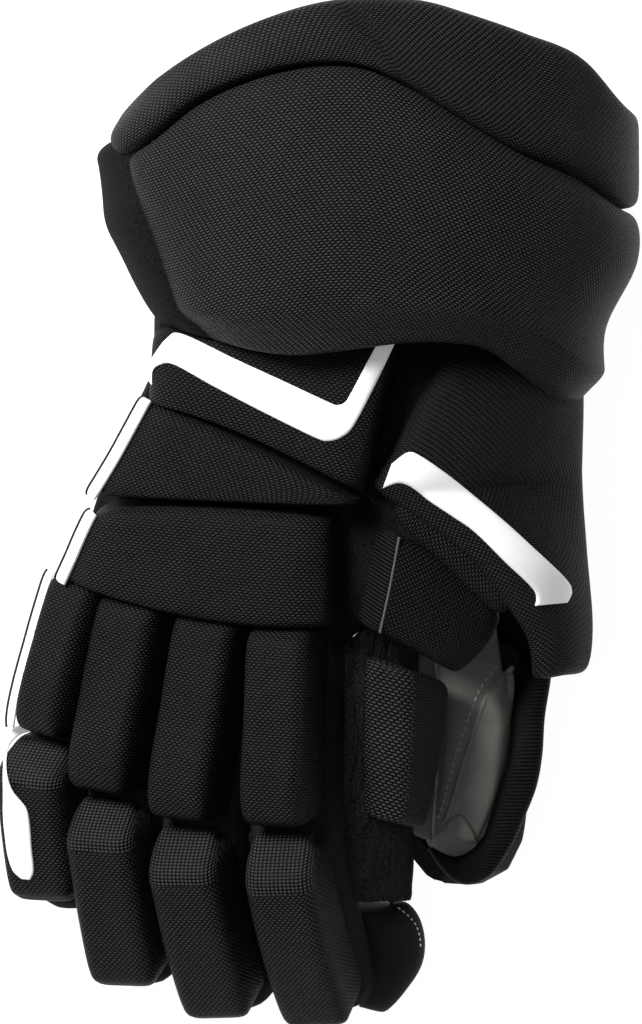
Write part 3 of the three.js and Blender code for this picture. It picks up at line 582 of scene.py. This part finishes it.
def rounded(name, nodes, look, voxel=1.1, passes=3, swell=0.0):
    """One cloth piece over CAD solids, in steps of voxel, swollen by a distance and rounded in passes."""
    work = bmesh.new()
    for node in nodes:
        work.from_mesh(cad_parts[node].data)
    joined = bpy.data.meshes.new(name)
    work.to_mesh(joined)
    work.free()
    joined.materials.clear()
    obj = bpy.data.objects.new(name, joined)
    bpy.context.scene.collection.objects.link(obj)
    remesh = obj.modifiers.new("even", "REMESH")
    remesh.mode = "VOXEL"
    remesh.voxel_size = voxel * MM
    if swell:
        grown = obj.modifiers.new("swell", "DISPLACE")
        grown.strength = swell * MM
        grown.mid_level = 0
    even = obj.modifiers.new("round", "SMOOTH")
    even.factor = 0.5
    even.iterations = passes
    bpy.context.view_layer.update()
    baked = bpy.data.meshes.new_from_object(obj.evaluated_get(bpy.context.evaluated_depsgraph_get()))
    obj.modifiers.clear()
    obj.data = baked
    for vert in baked.vertices:
        vert.co.z = max(vert.co.z, REST)
    box_map(obj)
    baked.polygons.foreach_set("use_smooth", [True] * len(baked.polygons))
    return shown(obj, nodes, look)


def box_map(obj):
    """Map of lengths over the surface, from the side that each face points to."""
    mesh = obj.data
    for layer in list(mesh.uv_layers):
        mesh.uv_layers.remove(layer)
    layer = mesh.uv_layers.new(name="cloth")
    count = len(mesh.vertices)
    co = np.zeros(count * 3)
    mesh.vertices.foreach_get("co", co)
    co = co.reshape(-1, 3) / MM
    for poly in mesh.polygons:
        axis = int(np.argmax(np.abs(poly.normal)))
        first, second = [(1, 2), (0, 2), (0, 1)][axis]
        for loop in poly.loop_indices:
            spot = co[mesh.loops[loop].vertex_index]
            layer.data[loop].uv = (spot[first], spot[second])


def build_lining():
    rounded("lining", ["cuff_liner", "wrist_liner", "back_liner"], KNIT, voxel=1.2, swell=0.4)
    rounded("palm", ["palm_leather"], PALM)
    for finger in FINGERS:
        rounded(finger + "_stall_leather", [finger + "_stall"], PALM, swell=2.7)
    thumb = rounded("thumb_stall_leather", ["thumb_stall"], SUEDE)
    rounded("thumb_web_leather", ["thumb_web"], SUEDE)
    rounded("index_gusset_mesh", ["index_gusset"], NET, voxel=1.2)
    return thumb


# Finger rolls

NEAR_ROLL = (0.03, 0.5)  # shares of a finger's path under its two rolls
TIP_ROLL = (0.53, 1.022)
TIP_BEVEL = -0.58  # share along a tip roll where its wrist-end slope ends
SLOPE_SIDE = 0.97  # share from a roll's middle where the second cloth on its slope stops


def tip_bevel(u, v):
    return ramp(v, -1.0, TIP_BEVEL, 0.5)


def near_bevel(u, v):
    return ramp(v, -1.0, -0.8, 0.9)


def on_tip_slope(u, v):
    return (v < TIP_BEVEL) & (np.abs(u) < SLOPE_SIDE)


FINGER_SHAPE = Shape(0.28, 0.36, 1.6, near_bevel)
TIP_SHAPE = Shape(0.28, 0.36, 1.6, tip_bevel, corner=3.0)


def build_fingers():
    covers = {}
    for finger, path in FINGERS.items():
        width = LITTLE_NEAR_WIDTH if finger == "little" else NEAR_ROLL_WIDTH
        near = finger_base(path, *NEAR_ROLL, width, (NEAR_ROLL_WIDTH - width) / 2)
        tip = finger_base(path, *TIP_ROLL, TIP_ROLL_WIDTH)
        roll(finger + "_near_cover", near, FINGER_FOAM, FINGER_FOOT, (width, FINGER_ROLL_LENGTH), WEAVE,
             [finger + "_near_roll"], FINGER_SHAPE)
        covers[finger] = roll(finger + "_tip_cover", tip, FINGER_FOAM, FINGER_FOOT,
                              (TIP_ROLL_WIDTH, FINGER_ROLL_LENGTH), WEAVE, [finger + "_tip_roll"],
                              TIP_SHAPE, trim=(RIBBED, on_tip_slope))
        if finger == "little":
            side_strip("little_near_white", "little_near_strip", near, FINGER_FOAM, 2.4, drop=8.0)
    return covers


# Rolls on the back of the hand

UPPER_ROLL = [
    [(0.25, 0.684, 0.52), (0.45, 0.678, 0.6), (0.63, 0.67, 0.64)],
    [(0.249, 0.64, 0.5), (0.44, 0.61, 0.58), (0.595, 0.59, 0.62)],
    [(0.252, 0.626, 0.49), (0.42, 0.575, 0.56), (0.57, 0.52, 0.6)],
]
WEDGE_ROLL = [
    [(0.247, 0.618, 0.48), (0.42, 0.568, 0.55), (0.57, 0.516, 0.6)],
    [(0.205, 0.57, 0.45), (0.39, 0.54, 0.53), (0.57, 0.513, 0.6)],
    [(0.16, 0.522, 0.41), (0.36, 0.515, 0.51), (0.57, 0.51, 0.6)],
]
KNUCKLE_ROLL = [
    [(0.165, 0.512, 0.4), (0.34, 0.512, 0.49), (0.53, 0.502, 0.575)],
    [(0.145, 0.48, 0.37), (0.33, 0.455, 0.47), (0.527, 0.445, 0.555)],
    [(0.13, 0.446, 0.33), (0.315, 0.402, 0.45), (0.523, 0.392, 0.54)],
]
BACK_SHAPE = Shape(0.26, 0.34, 1.0, None)


def build_backhand():
    upper = roll("backhand_upper_cover", rail_base(UPPER_ROLL), BACKHAND_FOAM, BACKHAND_FOOT, (85, 45), WEAVE,
                 ["backhand_upper_roll"], BACK_SHAPE)
    roll("backhand_wedge_cover", rail_base(WEDGE_ROLL), BACKHAND_FOAM, BACKHAND_FOOT, (93, 30), WEAVE,
         ["backhand_wedge_roll"], BACK_SHAPE)
    roll("knuckle_cover", rail_base(KNUCKLE_ROLL), BACKHAND_FOAM, BACKHAND_FOOT, (90, 40), WEAVE,
         ["knuckle_roll"], BACK_SHAPE)
    side_strip("wedge_white", "wedge_side_strip", rail_base(WEDGE_ROLL), BACKHAND_FOAM, 3.4)
    side_strip("knuckle_white", "knuckle_side_strip", rail_base(KNUCKLE_ROLL), BACKHAND_FOAM, 3.4)
    return upper


# Thumb side

THUMB_SIDE_ROLL = [
    [(0.69, 0.66, 0.646), (0.8, 0.66, 0.569), (0.855, 0.66, 0.346)],
    [(0.615, 0.567, 0.615), (0.76, 0.567, 0.538), (0.858, 0.567, 0.323)],
    [(0.585, 0.53, 0.585), (0.75, 0.53, 0.508), (0.86, 0.53, 0.308)],
    [(0.747, 0.465, 0.523), (0.805, 0.465, 0.477), (0.861, 0.465, 0.308)],
    [(0.81, 0.4, 0.43), (0.838, 0.4, 0.395), (0.864, 0.4, 0.292)],
    [(0.832, 0.348, 0.375), (0.846, 0.345, 0.354), (0.862, 0.345, 0.292)],
]
CROTCH_ROLL = [
    [(0.612, 0.522, 0.6), (0.611, 0.511, 0.59), (0.612, 0.5, 0.58)],
    [(0.72, 0.487, 0.545), (0.705, 0.473, 0.54), (0.69, 0.459, 0.525)],
    [(0.818, 0.428, 0.485), (0.8, 0.42, 0.47), (0.78, 0.41, 0.45)],
]
INDEX_SIDE_UPPER_ROLL = [
    [(0.575, 0.497, 0.58), (0.67, 0.462, 0.52), (0.765, 0.41, 0.4)],
    [(0.56, 0.445, 0.56), (0.65, 0.414, 0.5), (0.742, 0.384, 0.39)],
    [(0.55, 0.397, 0.54), (0.62, 0.376, 0.49), (0.69, 0.358, 0.39)],
]
INDEX_SIDE_LOWER_ROLL = [
    [(0.575, 0.362, 0.53), (0.62, 0.352, 0.47), (0.664, 0.341, 0.37)],
    [(0.573, 0.28, 0.48), (0.612, 0.275, 0.43), (0.645, 0.27, 0.35)],
    [(0.572, 0.206, 0.43), (0.598, 0.202, 0.39), (0.618, 0.198, 0.33)],
]
INDEX_TIP_SIDE = [
    [(0.545, 0.118, 0.2), (0.585, 0.12, 0.2), (0.618, 0.122, 0.15)],
    [(0.55, 0.097, 0.17), (0.6, 0.097, 0.17), (0.641, 0.099, 0.12)],
    [(0.558, 0.07, 0.13), (0.605, 0.07, 0.14), (0.645, 0.07, 0.1)],
    [(0.565, 0.045, 0.09), (0.595, 0.045, 0.1), (0.622, 0.045, 0.08)],
    [(0.572, 0.02, 0.05), (0.577, 0.02, 0.06), (0.584, 0.02, 0.05)],
]
SIDE_SHAPE = Shape(0.26, 0.34, 1.5, None)
DOME = Shape(0.5, 0.5, 0.3, None)
UPPER_SLOPE = -0.66  # shares across the pads beside the index finger where their slopes end
LOWER_SLOPE = -0.25


def upper_pad_bevel(u, v):
    return ramp(u, -1.0, UPPER_SLOPE, 0.3)


def lower_pad_bevel(u, v):
    return ramp(u, -1.0, LOWER_SLOPE, 0.35)


def on_upper_slope(u, v):
    return (u < UPPER_SLOPE) & (np.abs(v) < SLOPE_SIDE)


def on_lower_slope(u, v):
    return (u < LOWER_SLOPE) & (np.abs(v) < SLOPE_SIDE)


UPPER_PAD_SHAPE = Shape(0.26, 0.34, 1.0, upper_pad_bevel)
LOWER_PAD_SHAPE = Shape(0.26, 0.34, 1.0, lower_pad_bevel)


def build_thumb_side():
    side = roll("thumb_side_cover", rail_base(THUMB_SIDE_ROLL), SIDE_FOAM, -1, (75, 112), WEAVE,
                ["thumb_side_roll"], SIDE_SHAPE)
    roll("thumb_crotch_cover", rail_base(CROTCH_ROLL), CROTCH_FOAM, -8, (10, 60), WEAVE,
         ["thumb_crotch_roll"], SIDE_SHAPE)
    roll("index_side_upper_cover", rail_base(INDEX_SIDE_UPPER_ROLL), INDEX_SIDE_FOAM, -4, (45, 36), WEAVE,
         ["index_side_upper_roll"], UPPER_PAD_SHAPE, trim=(BINDING, on_upper_slope))
    welt("index_side_welt", rail_base(INDEX_SIDE_UPPER_ROLL), INDEX_SIDE_FOAM, UPPER_SLOPE + 0.02)
    roll("index_side_lower_cover", rail_base(INDEX_SIDE_LOWER_ROLL), INDEX_SIDE_FOAM, -2, (27, 56), WEAVE,
         ["index_side_lower_roll"], LOWER_PAD_SHAPE, trim=(COARSE, on_lower_slope))
    tip_side = roll("index_tip_side_cover", rail_base(INDEX_TIP_SIDE), TIP_SIDE_FOAM, -2, (24, 36),
                    BLACK_LEATHER, ["index_tip_side"], DOME)
    rounded("thumb_shell_cover", ["thumb_shell"], BLACK_LEATHER,
            voxel=1.2, passes=8, swell=-1.0)
    return side, tip_side


# Cuff

CUFF = [  # columns left, right, side, top, bottom, lean
    (0.3, 0.882, 0.42, 0.85, 0.11, 3),
    (0.262, 0.878, 0.42, 0.88, 0.09, 2),
    (0.215, 0.928, 0.42, 0.892, 0.08, 1),
    (0.185, 0.93, 0.43, 0.885, 0.075, 0),
    (0.228, 0.93, 0.44, 0.87, 0.075, 0),
]
CUFF_EDGES = [  # columns lip, crease, rim, at even places across the back from the thumb side
    (0.61, 0.796, 0.893), (0.635, 0.828, 0.945), (0.66, 0.851, 0.966), (0.666, 0.881, 0.983),
    (0.666, 0.912, 0.997), (0.662, 0.933, 1), (0.657, 0.934, 0.996), (0.654, 0.922, 0.982),
    (0.658, 0.899, 0.96), (0.668, 0.86, 0.929), (0.679, 0.84, 0.886),
]
CUFF_UNDER = np.array([0.675, 0.795, 0.85])  # lip, crease and rim on the palm side
CREASE_PLACE = 0.68  # share of the cuff's length at its crease
CREASE_GAP = 0.003  # from the crease to each of the two parts beside it
SQUARENESS = 0.78
CUFF_SINK = 1  # depth of the cuff's parts under the sleeve
WELD_DISTANCE = 0.02


def cuff_y(t, angle):
    turn = np.radians(angle)
    across = signed_power(np.cos(turn), SQUARENESS)
    under = smooth(-np.sin(turn))[..., None]
    on_back = along(CUFF_EDGES, (1 - across) / 2)
    lip, crease, rim = np.moveaxis(on_back + (CUFF_UNDER - on_back) * under, -1, 0)
    low = lip + (crease - lip) * t / CREASE_PLACE
    high = crease + (rim - crease) * (t - CREASE_PLACE) / (1 - CREASE_PLACE)
    return np.where(t < CREASE_PLACE, low, high)


def cuff_point(t, angle, offset):
    """Point on the cuff's sleeve, at a share of its length, an angle from the thumb side and an offset."""
    left, right, side, top, bottom, lean = np.moveaxis(along(CUFF, t), -1, 0)
    turn, lean = np.radians(angle), np.radians(lean)
    soft_cos = signed_power(np.cos(turn), SQUARENESS)
    soft_sin = signed_power(np.sin(turn), SQUARENESS)
    half = (right - left) / 2 * GLOVE_WIDTH
    rise = np.where(soft_sin > 0, top - side, side - bottom) * GLOVE_HEIGHT
    across, up = (half + offset) * soft_cos, (rise + offset) * soft_sin
    middle = place((left + right) / 2, cuff_y(t, angle), side)
    moved = np.stack([across * np.cos(lean) - up * np.sin(lean), 0 * across,
                      across * np.sin(lean) + up * np.cos(lean)], -1)
    return middle + moved


def cuff_roll(name, node, t_range, angles, size, look, shape):
    """Padded part of the cuff between two shares of its length.

    angles holds where it starts round the cuff, and where it ends at each of those shares. size is its width
    and length.
    """
    u, rise_across = even_profile(size[0] / 2, CUFF_FOAM + CUFF_SINK, shape)
    v, rise_along = even_profile(size[1] / 2, CUFF_FOAM + CUFF_SINK, shape)
    u, v = u[None, :] + 0 * v[:, None], v[:, None] + 0 * u[None, :]
    height = rise_across[None, :] * rise_along[:, None]
    if shape.bevel:
        height = height * shape.bevel(u, v)
    t = (t_range[0] + t_range[1]) / 2 + (t_range[1] - t_range[0]) / 2 * v
    last = angles[1] + (angles[2] - angles[1]) * (v + 1) / 2
    angle = angles[0] + (last - angles[0]) * (u + 1) / 2
    obj = grid_mesh(name, cuff_point(t, angle, -CUFF_SINK + (CUFF_FOAM + CUFF_SINK) * height))
    join(obj, grid_mesh(name + "_back", cuff_point(t, angle, -CUFF_SINK + 0 * height), flip=True))
    weld(obj, WELD_DISTANCE)
    face_out(obj)
    shown(obj, [node], look)


def lip_bevel(u, v):
    return ramp(v, -1.0, -0.66, 0.5)


def side_bevel(u, v):
    return 1 - 0.4 * smooth((v + 0.1) / 0.7)


CUFF_SHAPE = Shape(0.26, 0.34, 0, None)
SIDE_PANEL_SHAPE = Shape(0.4, 0.5, 0, side_bevel)
LIP_SHAPE = Shape(0.26, 0.34, 0, lip_bevel)


def build_cuff():
    # The rim and front take the lighter weave: painted light.
    cuff_roll("cuff_rim_cover", "cuff_rim_roll", (CREASE_PLACE + CREASE_GAP, 1), (-24, 152, 168), (300, 35),
              CUFF_WEAVE_LIT, CUFF_SHAPE)
    cuff_roll("cuff_front_cover", "cuff_front_panel", (0, CREASE_PLACE - CREASE_GAP), (-24, 149, 149),
              (290, 92), CUFF_WEAVE_LIT, LIP_SHAPE)
    cuff_roll("cuff_side_cover", "cuff_side_panel", (0, 0.86), (140, 206, 206), (60, 95),
              KNIT, SIDE_PANEL_SHAPE)
    rounded("cuff_palm_cover", ["cuff_palm_panel"], WEAVE, voxel=1.6, passes=8)


# White strips, laid on the rolls from above

CHEVRON = [  # upper edge x, y, lower edge x, y
    (0.224, 0.634, 0.236, 0.625), (0.235, 0.651, 0.237, 0.639), (0.259, 0.671, 0.248, 0.645),
    (0.283, 0.675, 0.271, 0.645), (0.364, 0.651, 0.332, 0.624), (0.437, 0.630, 0.412, 0.598),
    (0.509, 0.609, 0.487, 0.575), (0.524, 0.606, 0.509, 0.571), (0.536, 0.609, 0.531, 0.575),
    (0.547, 0.620, 0.550, 0.587), (0.566, 0.643, 0.582, 0.625), (0.586, 0.666, 0.613, 0.666),
]
THUMB_STRIPE = [  # outer edge x, y, inner edge x, y
    (0.608, 0.549, 0.594, 0.525), (0.633, 0.560, 0.616, 0.530), (0.654, 0.556, 0.633, 0.528),
    (0.696, 0.538, 0.650, 0.521), (0.738, 0.517, 0.668, 0.512), (0.782, 0.494, 0.704, 0.497),
    (0.826, 0.469, 0.738, 0.482), (0.878, 0.438, 0.785, 0.453), (0.889, 0.425, 0.829, 0.426),
    (0.882, 0.414, 0.831, 0.411),
]


STRIP_LIFT = 0.7  # height of the white strips over the rolls
STRIP_SMOOTHING = 6  # passes
STRIP_POINTS = 14  # from edge to edge
STRIP_DEPTH = 2.2  # from a strip's face to its back
STRIP_EDGE_LIFT = 0.1  # part of the lift that a strip's edges have
STRIP_ROUNDING = 0.35  # the lower it is, the squarer a strip's face
DROP_START = 200  # height above the table from which the targets are looked for


def drop_heights(targets, x, y):
    """Height of the highest target surface under each place, or NaN where there is none."""
    trees = [BVHTree.FromObject(obj, bpy.context.evaluated_depsgraph_get()) for obj in targets]
    heights = np.full(x.shape, np.nan)
    for index in np.ndindex(x.shape):
        for tree in trees:
            above = Vector((x[index] * MM, y[index] * MM, DROP_START * MM))
            hit = tree.ray_cast(above, Vector((0, 0, -1)))
            if hit[0] is not None:
                heights[index] = np.nanmax([heights[index], hit[0].z / MM])
    return heights


def strip(name, nodes, table, targets, look, lift=STRIP_LIFT, rows=90):
    """Strip between two edges, laid on the targets from above, with its own edges turned down."""
    t = np.linspace(0, 1, rows)
    edges = along(table, t)
    across = np.linspace(0, 1, STRIP_POINTS)[None, :, None]
    first = place(edges[:, 0], edges[:, 1], 0)[:, None, :]
    second = place(edges[:, 2], edges[:, 3], 0)[:, None, :]
    points = first * (1 - across) + second * across
    heights = evened(filled_in(highest_near(drop_heights(targets, points[..., 0], points[..., 1]))))
    swell = np.sin(np.linspace(0, math.pi, STRIP_POINTS)) ** STRIP_ROUNDING
    points[..., 2] = heights + lift * (STRIP_EDGE_LIFT + swell[None, :])
    under = points - [0, 0, STRIP_DEPTH]
    ring = np.concatenate([points, under[:, ::-1]], 1)
    obj = grid_mesh(name, ring, closed=True)
    close_ends(obj)
    face_out(obj)
    return shown(obj, nodes, look)


def highest_near(heights):
    """Heights raised to the highest of their neighbours, so that a strip stands clear of rounded edges."""
    rows, cols = heights.shape
    padded = np.pad(heights, 1, mode="edge")
    return np.fmax.reduce([padded[i:i + rows, j:j + cols] for i in range(3) for j in range(3)])


def filled_in(heights):
    """Heights with each missing one taken from the nearest known ones of its row, or else of its column."""
    for lines in (heights, heights.T):
        for line in lines:
            known = np.flatnonzero(np.isfinite(line))
            if len(known):
                line[:] = np.interp(np.arange(len(line)), known, line[known])
    return heights


def evened(heights):
    for _ in range(STRIP_SMOOTHING):
        heights[1:-1] = heights[1:-1] / 2 + (heights[:-2] + heights[2:]) / 4
    return heights


LITTLE_PATCH = [  # on the little finger's tip roll: left edge x, y, right edge x, y
    (0.038, 0.296, 0.052, 0.289), (0.014, 0.29, 0.027, 0.284), (0.005, 0.277, 0.011, 0.272),
    (0.002, 0.251, 0.008, 0.251), (0.002, 0.228, 0.017, 0.231), (0.002, 0.205, 0.038, 0.214),
    (0.005, 0.184, 0.044, 0.199), (0.009, 0.167, 0.047, 0.174), (0.017, 0.152, 0.05, 0.152),
    (0.03, 0.144, 0.044, 0.143),
]


def build_strips(covers, upper, side):
    strip("backhand_chevron_strip", ["backhand_chevron"], CHEVRON, [upper], WHITE)
    strip("thumb_side_strip", ["thumb_side_stripe"], THUMB_STRIPE, [side], WHITE)
    strip("little_tip_white", ["little_tip_strip"], LITTLE_PATCH, [covers["little"]], WHITE)


# Stitches

LINE_POINTS = 400


def stitches(name, table, spacing, length, radius, targets, look):
    """Short threads along a line of places, laid on the targets from above."""
    rows = along(table, np.linspace(0, 1, LINE_POINTS))
    line = place(rows[:, 0], rows[:, 1], 0)
    heights = drop_heights(targets, line[:, 0], line[:, 1])
    line[:, 2] = filled_in(heights[None, :])[0]
    run = np.concatenate([[0], np.cumsum(np.linalg.norm(np.diff(line[:, :2], axis=0), axis=1))])
    work = bmesh.new()

    def spot(distance):
        return Vector([np.interp(distance, run, line[:, k]) * MM for k in range(3)])

    for start in np.arange(0, run[-1] - length, spacing):
        ends = [spot(start), spot(start + length)]
        turn = (ends[1] - ends[0]).to_track_quat("Z", "Y").to_matrix().to_4x4()
        turn.translation = (ends[0] + ends[1]) / 2
        made = bmesh.ops.create_uvsphere(work, u_segments=8, v_segments=6, radius=radius * MM)
        for vert in made["verts"]:
            vert.co.z *= length / (2 * radius)
        bmesh.ops.transform(work, matrix=turn, verts=made["verts"])
    mesh = bpy.data.meshes.new(name)
    work.to_mesh(mesh)
    work.free()
    mesh.polygons.foreach_set("use_smooth", [True] * len(mesh.polygons))
    obj = bpy.data.objects.new(name, mesh)
    bpy.context.scene.collection.objects.link(obj)
    shown(obj, [], look)


# Suede in the thumb's opening

THUMB_PANEL = [  # panel to the right of the fold, in a lighter copy of the suede for painted light: left edge x, y, right edge x, y
    (0.79, 0.346, 0.797, 0.35), (0.775, 0.335, 0.8, 0.34), (0.752, 0.315, 0.8, 0.324),
    (0.737, 0.287, 0.793, 0.29), (0.722, 0.259, 0.787, 0.262), (0.709, 0.232, 0.773, 0.228),
    (0.697, 0.208, 0.757, 0.2), (0.69, 0.193, 0.742, 0.18),
]
THUMB_FOLD = [(0.797, 0.35), (0.775, 0.336), (0.753, 0.316), (0.738, 0.289), (0.723, 0.26), (0.71, 0.232),
              (0.698, 0.208), (0.684, 0.19)]
THUMB_STITCHES = [(0.775, 0.352), (0.757, 0.34), (0.74, 0.32), (0.725, 0.295), (0.711, 0.268), (0.698, 0.24),
                  (0.687, 0.214), (0.676, 0.196)]
THUMB_CORNER = [  # folded corner at the end of the opening
    (0.675, 0.187, 0.67, 0.176), (0.695, 0.2, 0.69, 0.168), (0.715, 0.207, 0.712, 0.162),
    (0.732, 0.196, 0.731, 0.168), (0.742, 0.18, 0.745, 0.172),
]
THUMB_BAND = [  # outer edge x, y, height in mm, inner edge x, y, height in mm
    (0.765, 0.404, 30, 0.772, 0.374, 28), (0.802, 0.412, 32, 0.788, 0.372, 30),
    (0.832, 0.388, 34, 0.801, 0.368, 31), (0.852, 0.37, 35, 0.807, 0.362, 32),
    (0.858, 0.345, 35, 0.807, 0.338, 33), (0.848, 0.302, 36, 0.799, 0.31, 34),
    (0.844, 0.265, 36, 0.79, 0.262, 35), (0.835, 0.234, 35, 0.778, 0.236, 34),
    (0.817, 0.205, 34, 0.766, 0.212, 33), (0.796, 0.176, 33, 0.754, 0.189, 32),
    (0.763, 0.147, 32, 0.738, 0.175, 31), (0.724, 0.138, 30, 0.718, 0.167, 30),
    (0.69, 0.15, 28, 0.701, 0.168, 28), (0.664, 0.174, 26, 0.69, 0.173, 26),
]
RIBBED_TAB = [  # between the long pad and the fingertip: left edge x, y, height in mm, right edge the same
    (0.6, 0.2, 42, 0.642, 0.2, 40), (0.602, 0.175, 38, 0.643, 0.18, 36), (0.604, 0.145, 32, 0.643, 0.155, 31),
    (0.606, 0.118, 26, 0.64, 0.134, 27),
]
TIP_STITCHES = [(0.618, 0.116), (0.634, 0.108), (0.647, 0.098), (0.653, 0.085), (0.654, 0.072)]


BAND_SQUARENESS = 0.8
BAND_POINTS = (110, 36)  # along it and round it
BAND_END_ROUNDING = 0.2  # the lower it is, the blunter its ends


def band(name, table, top_depth, side_depth, sink, look):
    """Padded band between two edges in space, with its sides running down."""
    rows = along(table, np.linspace(0, 1, BAND_POINTS[0]))
    outer = place(rows[:, 0], rows[:, 1], 0)
    inner = place(rows[:, 3], rows[:, 4], 0)
    outer[:, 2], inner[:, 2] = rows[:, 2], rows[:, 5]
    turn = np.linspace(0, 2 * math.pi, BAND_POINTS[1], endpoint=False)[None, :]
    across = (1 - signed_power(np.cos(turn), BAND_SQUARENESS)) / 2
    up = signed_power(np.sin(turn), BAND_SQUARENESS)
    rings = outer[:, None] * (1 - across[..., None]) + inner[:, None] * across[..., None]
    depth = np.where(up > 0, top_depth, side_depth)
    close = np.sin(np.linspace(0.02, math.pi - 0.02, len(rows))) ** BAND_END_ROUNDING
    rings[..., 2] += up * depth * close[:, None] - sink
    obj = grid_mesh(name, rings, closed=True)
    close_ends(obj)
    face_out(obj)
    shown(obj, [], look)


def build_thumb_details(stall, tip_side):
    band("thumb_band", THUMB_BAND, 4, 9, 3, BINDING)
    band("index_tab", RIBBED_TAB, 1, 1.5, 1, BINDING)
    # The panel, the fold and the folded corner take the lighter suede: painted light, with a painted
    # highlight on the fold.
    panel = strip("thumb_panel", [], THUMB_PANEL, [stall], LIT_SUEDE, lift=1.2)
    shown(cord_on("thumb_fold", THUMB_FOLD, 1.1, [stall, panel]), [], LIT_SUEDE)
    strip("thumb_corner", [], THUMB_CORNER, [stall, panel], LIT_SUEDE, lift=1.6, rows=40)
    stitches("thumb_stitches", THUMB_STITCHES, 2.6, 1.7, 0.4, [stall], GREY_THREAD)
    stitches("tip_stitches", TIP_STITCHES, 1.9, 1.2, 0.3, [tip_side], WHITE_THREAD)


def cord_on(name, table, radius, targets):
    """Round cord laid on the targets from above, along a line of places."""
    rows = along(table, np.linspace(0, 1, 120))
    line = place(rows[:, 0], rows[:, 1], 0)
    line[:, 2] = filled_in(drop_heights(targets, line[:, 0], line[:, 1])[None, :])[0]
    return tube(name, line, radius)


# Stage

TABLE_HALF = 3.0  # metres from the table's middle to its edges
PHOTO_HEIGHT = 1024  # pixels
PHOTO_PIXEL = 0.34  # millimetres of the glove in one pixel
CAMERA_HEIGHT = 9.0  # metres
SENSOR = 24
VIEW_MIDDLE = (2.0 * MM, 0.7 * MM)
LAMP_AIM = (0, 0, 0.05)


def build_stage():
    plane = bpy.data.meshes.new("table")
    half = TABLE_HALF
    plane.from_pydata([(-half, -half, 0), (half, -half, 0), (half, half, 0), (-half, half, 0)], [],
                      [(0, 1, 2, 3)])
    table = bpy.data.objects.new("table", plane)
    material, _, surface = new_material("white table", 0.9, 0.0)
    surface.inputs["Base Color"].default_value = (0.3, 0.3, 0.3, 1)
    surface.inputs["Emission Color"].default_value = (1, 1, 1, 1)
    surface.inputs["Emission Strength"].default_value = 0.96
    plane.materials.append(material)
    bpy.context.scene.collection.objects.link(table)


def area_light(name, spot, size, power):
    data = bpy.data.lights.new(name, "AREA")
    data.size = size
    data.energy = power
    light = bpy.data.objects.new(name, data)
    light.location = spot
    light.rotation_euler = (Vector(LAMP_AIM) - Vector(spot)).to_track_quat("-Z", "Y").to_euler()
    bpy.context.scene.collection.objects.link(light)


def build_lights():
    area_light("key", (-0.95, 0.75, 1.25), 0.6, 50)
    area_light("fill", (-0.2, -0.3, 2.4), 1.6, 8)
    world = bpy.data.worlds.new("soft room")
    world.use_nodes = True
    world.node_tree.nodes["Background"].inputs[0].default_value = (1, 1, 1, 1)
    world.node_tree.nodes["Background"].inputs[1].default_value = 0.05
    bpy.context.scene.world = world


def build_camera():
    view_height = PHOTO_HEIGHT * PHOTO_PIXEL * MM
    data = bpy.data.cameras.new("camera")
    data.sensor_fit = "VERTICAL"
    data.sensor_height = SENSOR
    data.lens = SENSOR * CAMERA_HEIGHT / view_height
    data.clip_end = 30
    camera = bpy.data.objects.new("camera", data)
    camera.location = (*VIEW_MIDDLE, CAMERA_HEIGHT)
    bpy.context.scene.collection.objects.link(camera)
    scene = bpy.context.scene
    scene.camera = camera
    scene.view_settings.view_transform = "Standard"


thumb_stall = build_lining()
covers = build_fingers()
upper = build_backhand()
side, tip_side = build_thumb_side()
build_cuff()
bpy.context.view_layer.update()
build_strips(covers, upper, side)
build_thumb_details(thumb_stall, tip_side)
build_stage()
build_lights()
build_camera()
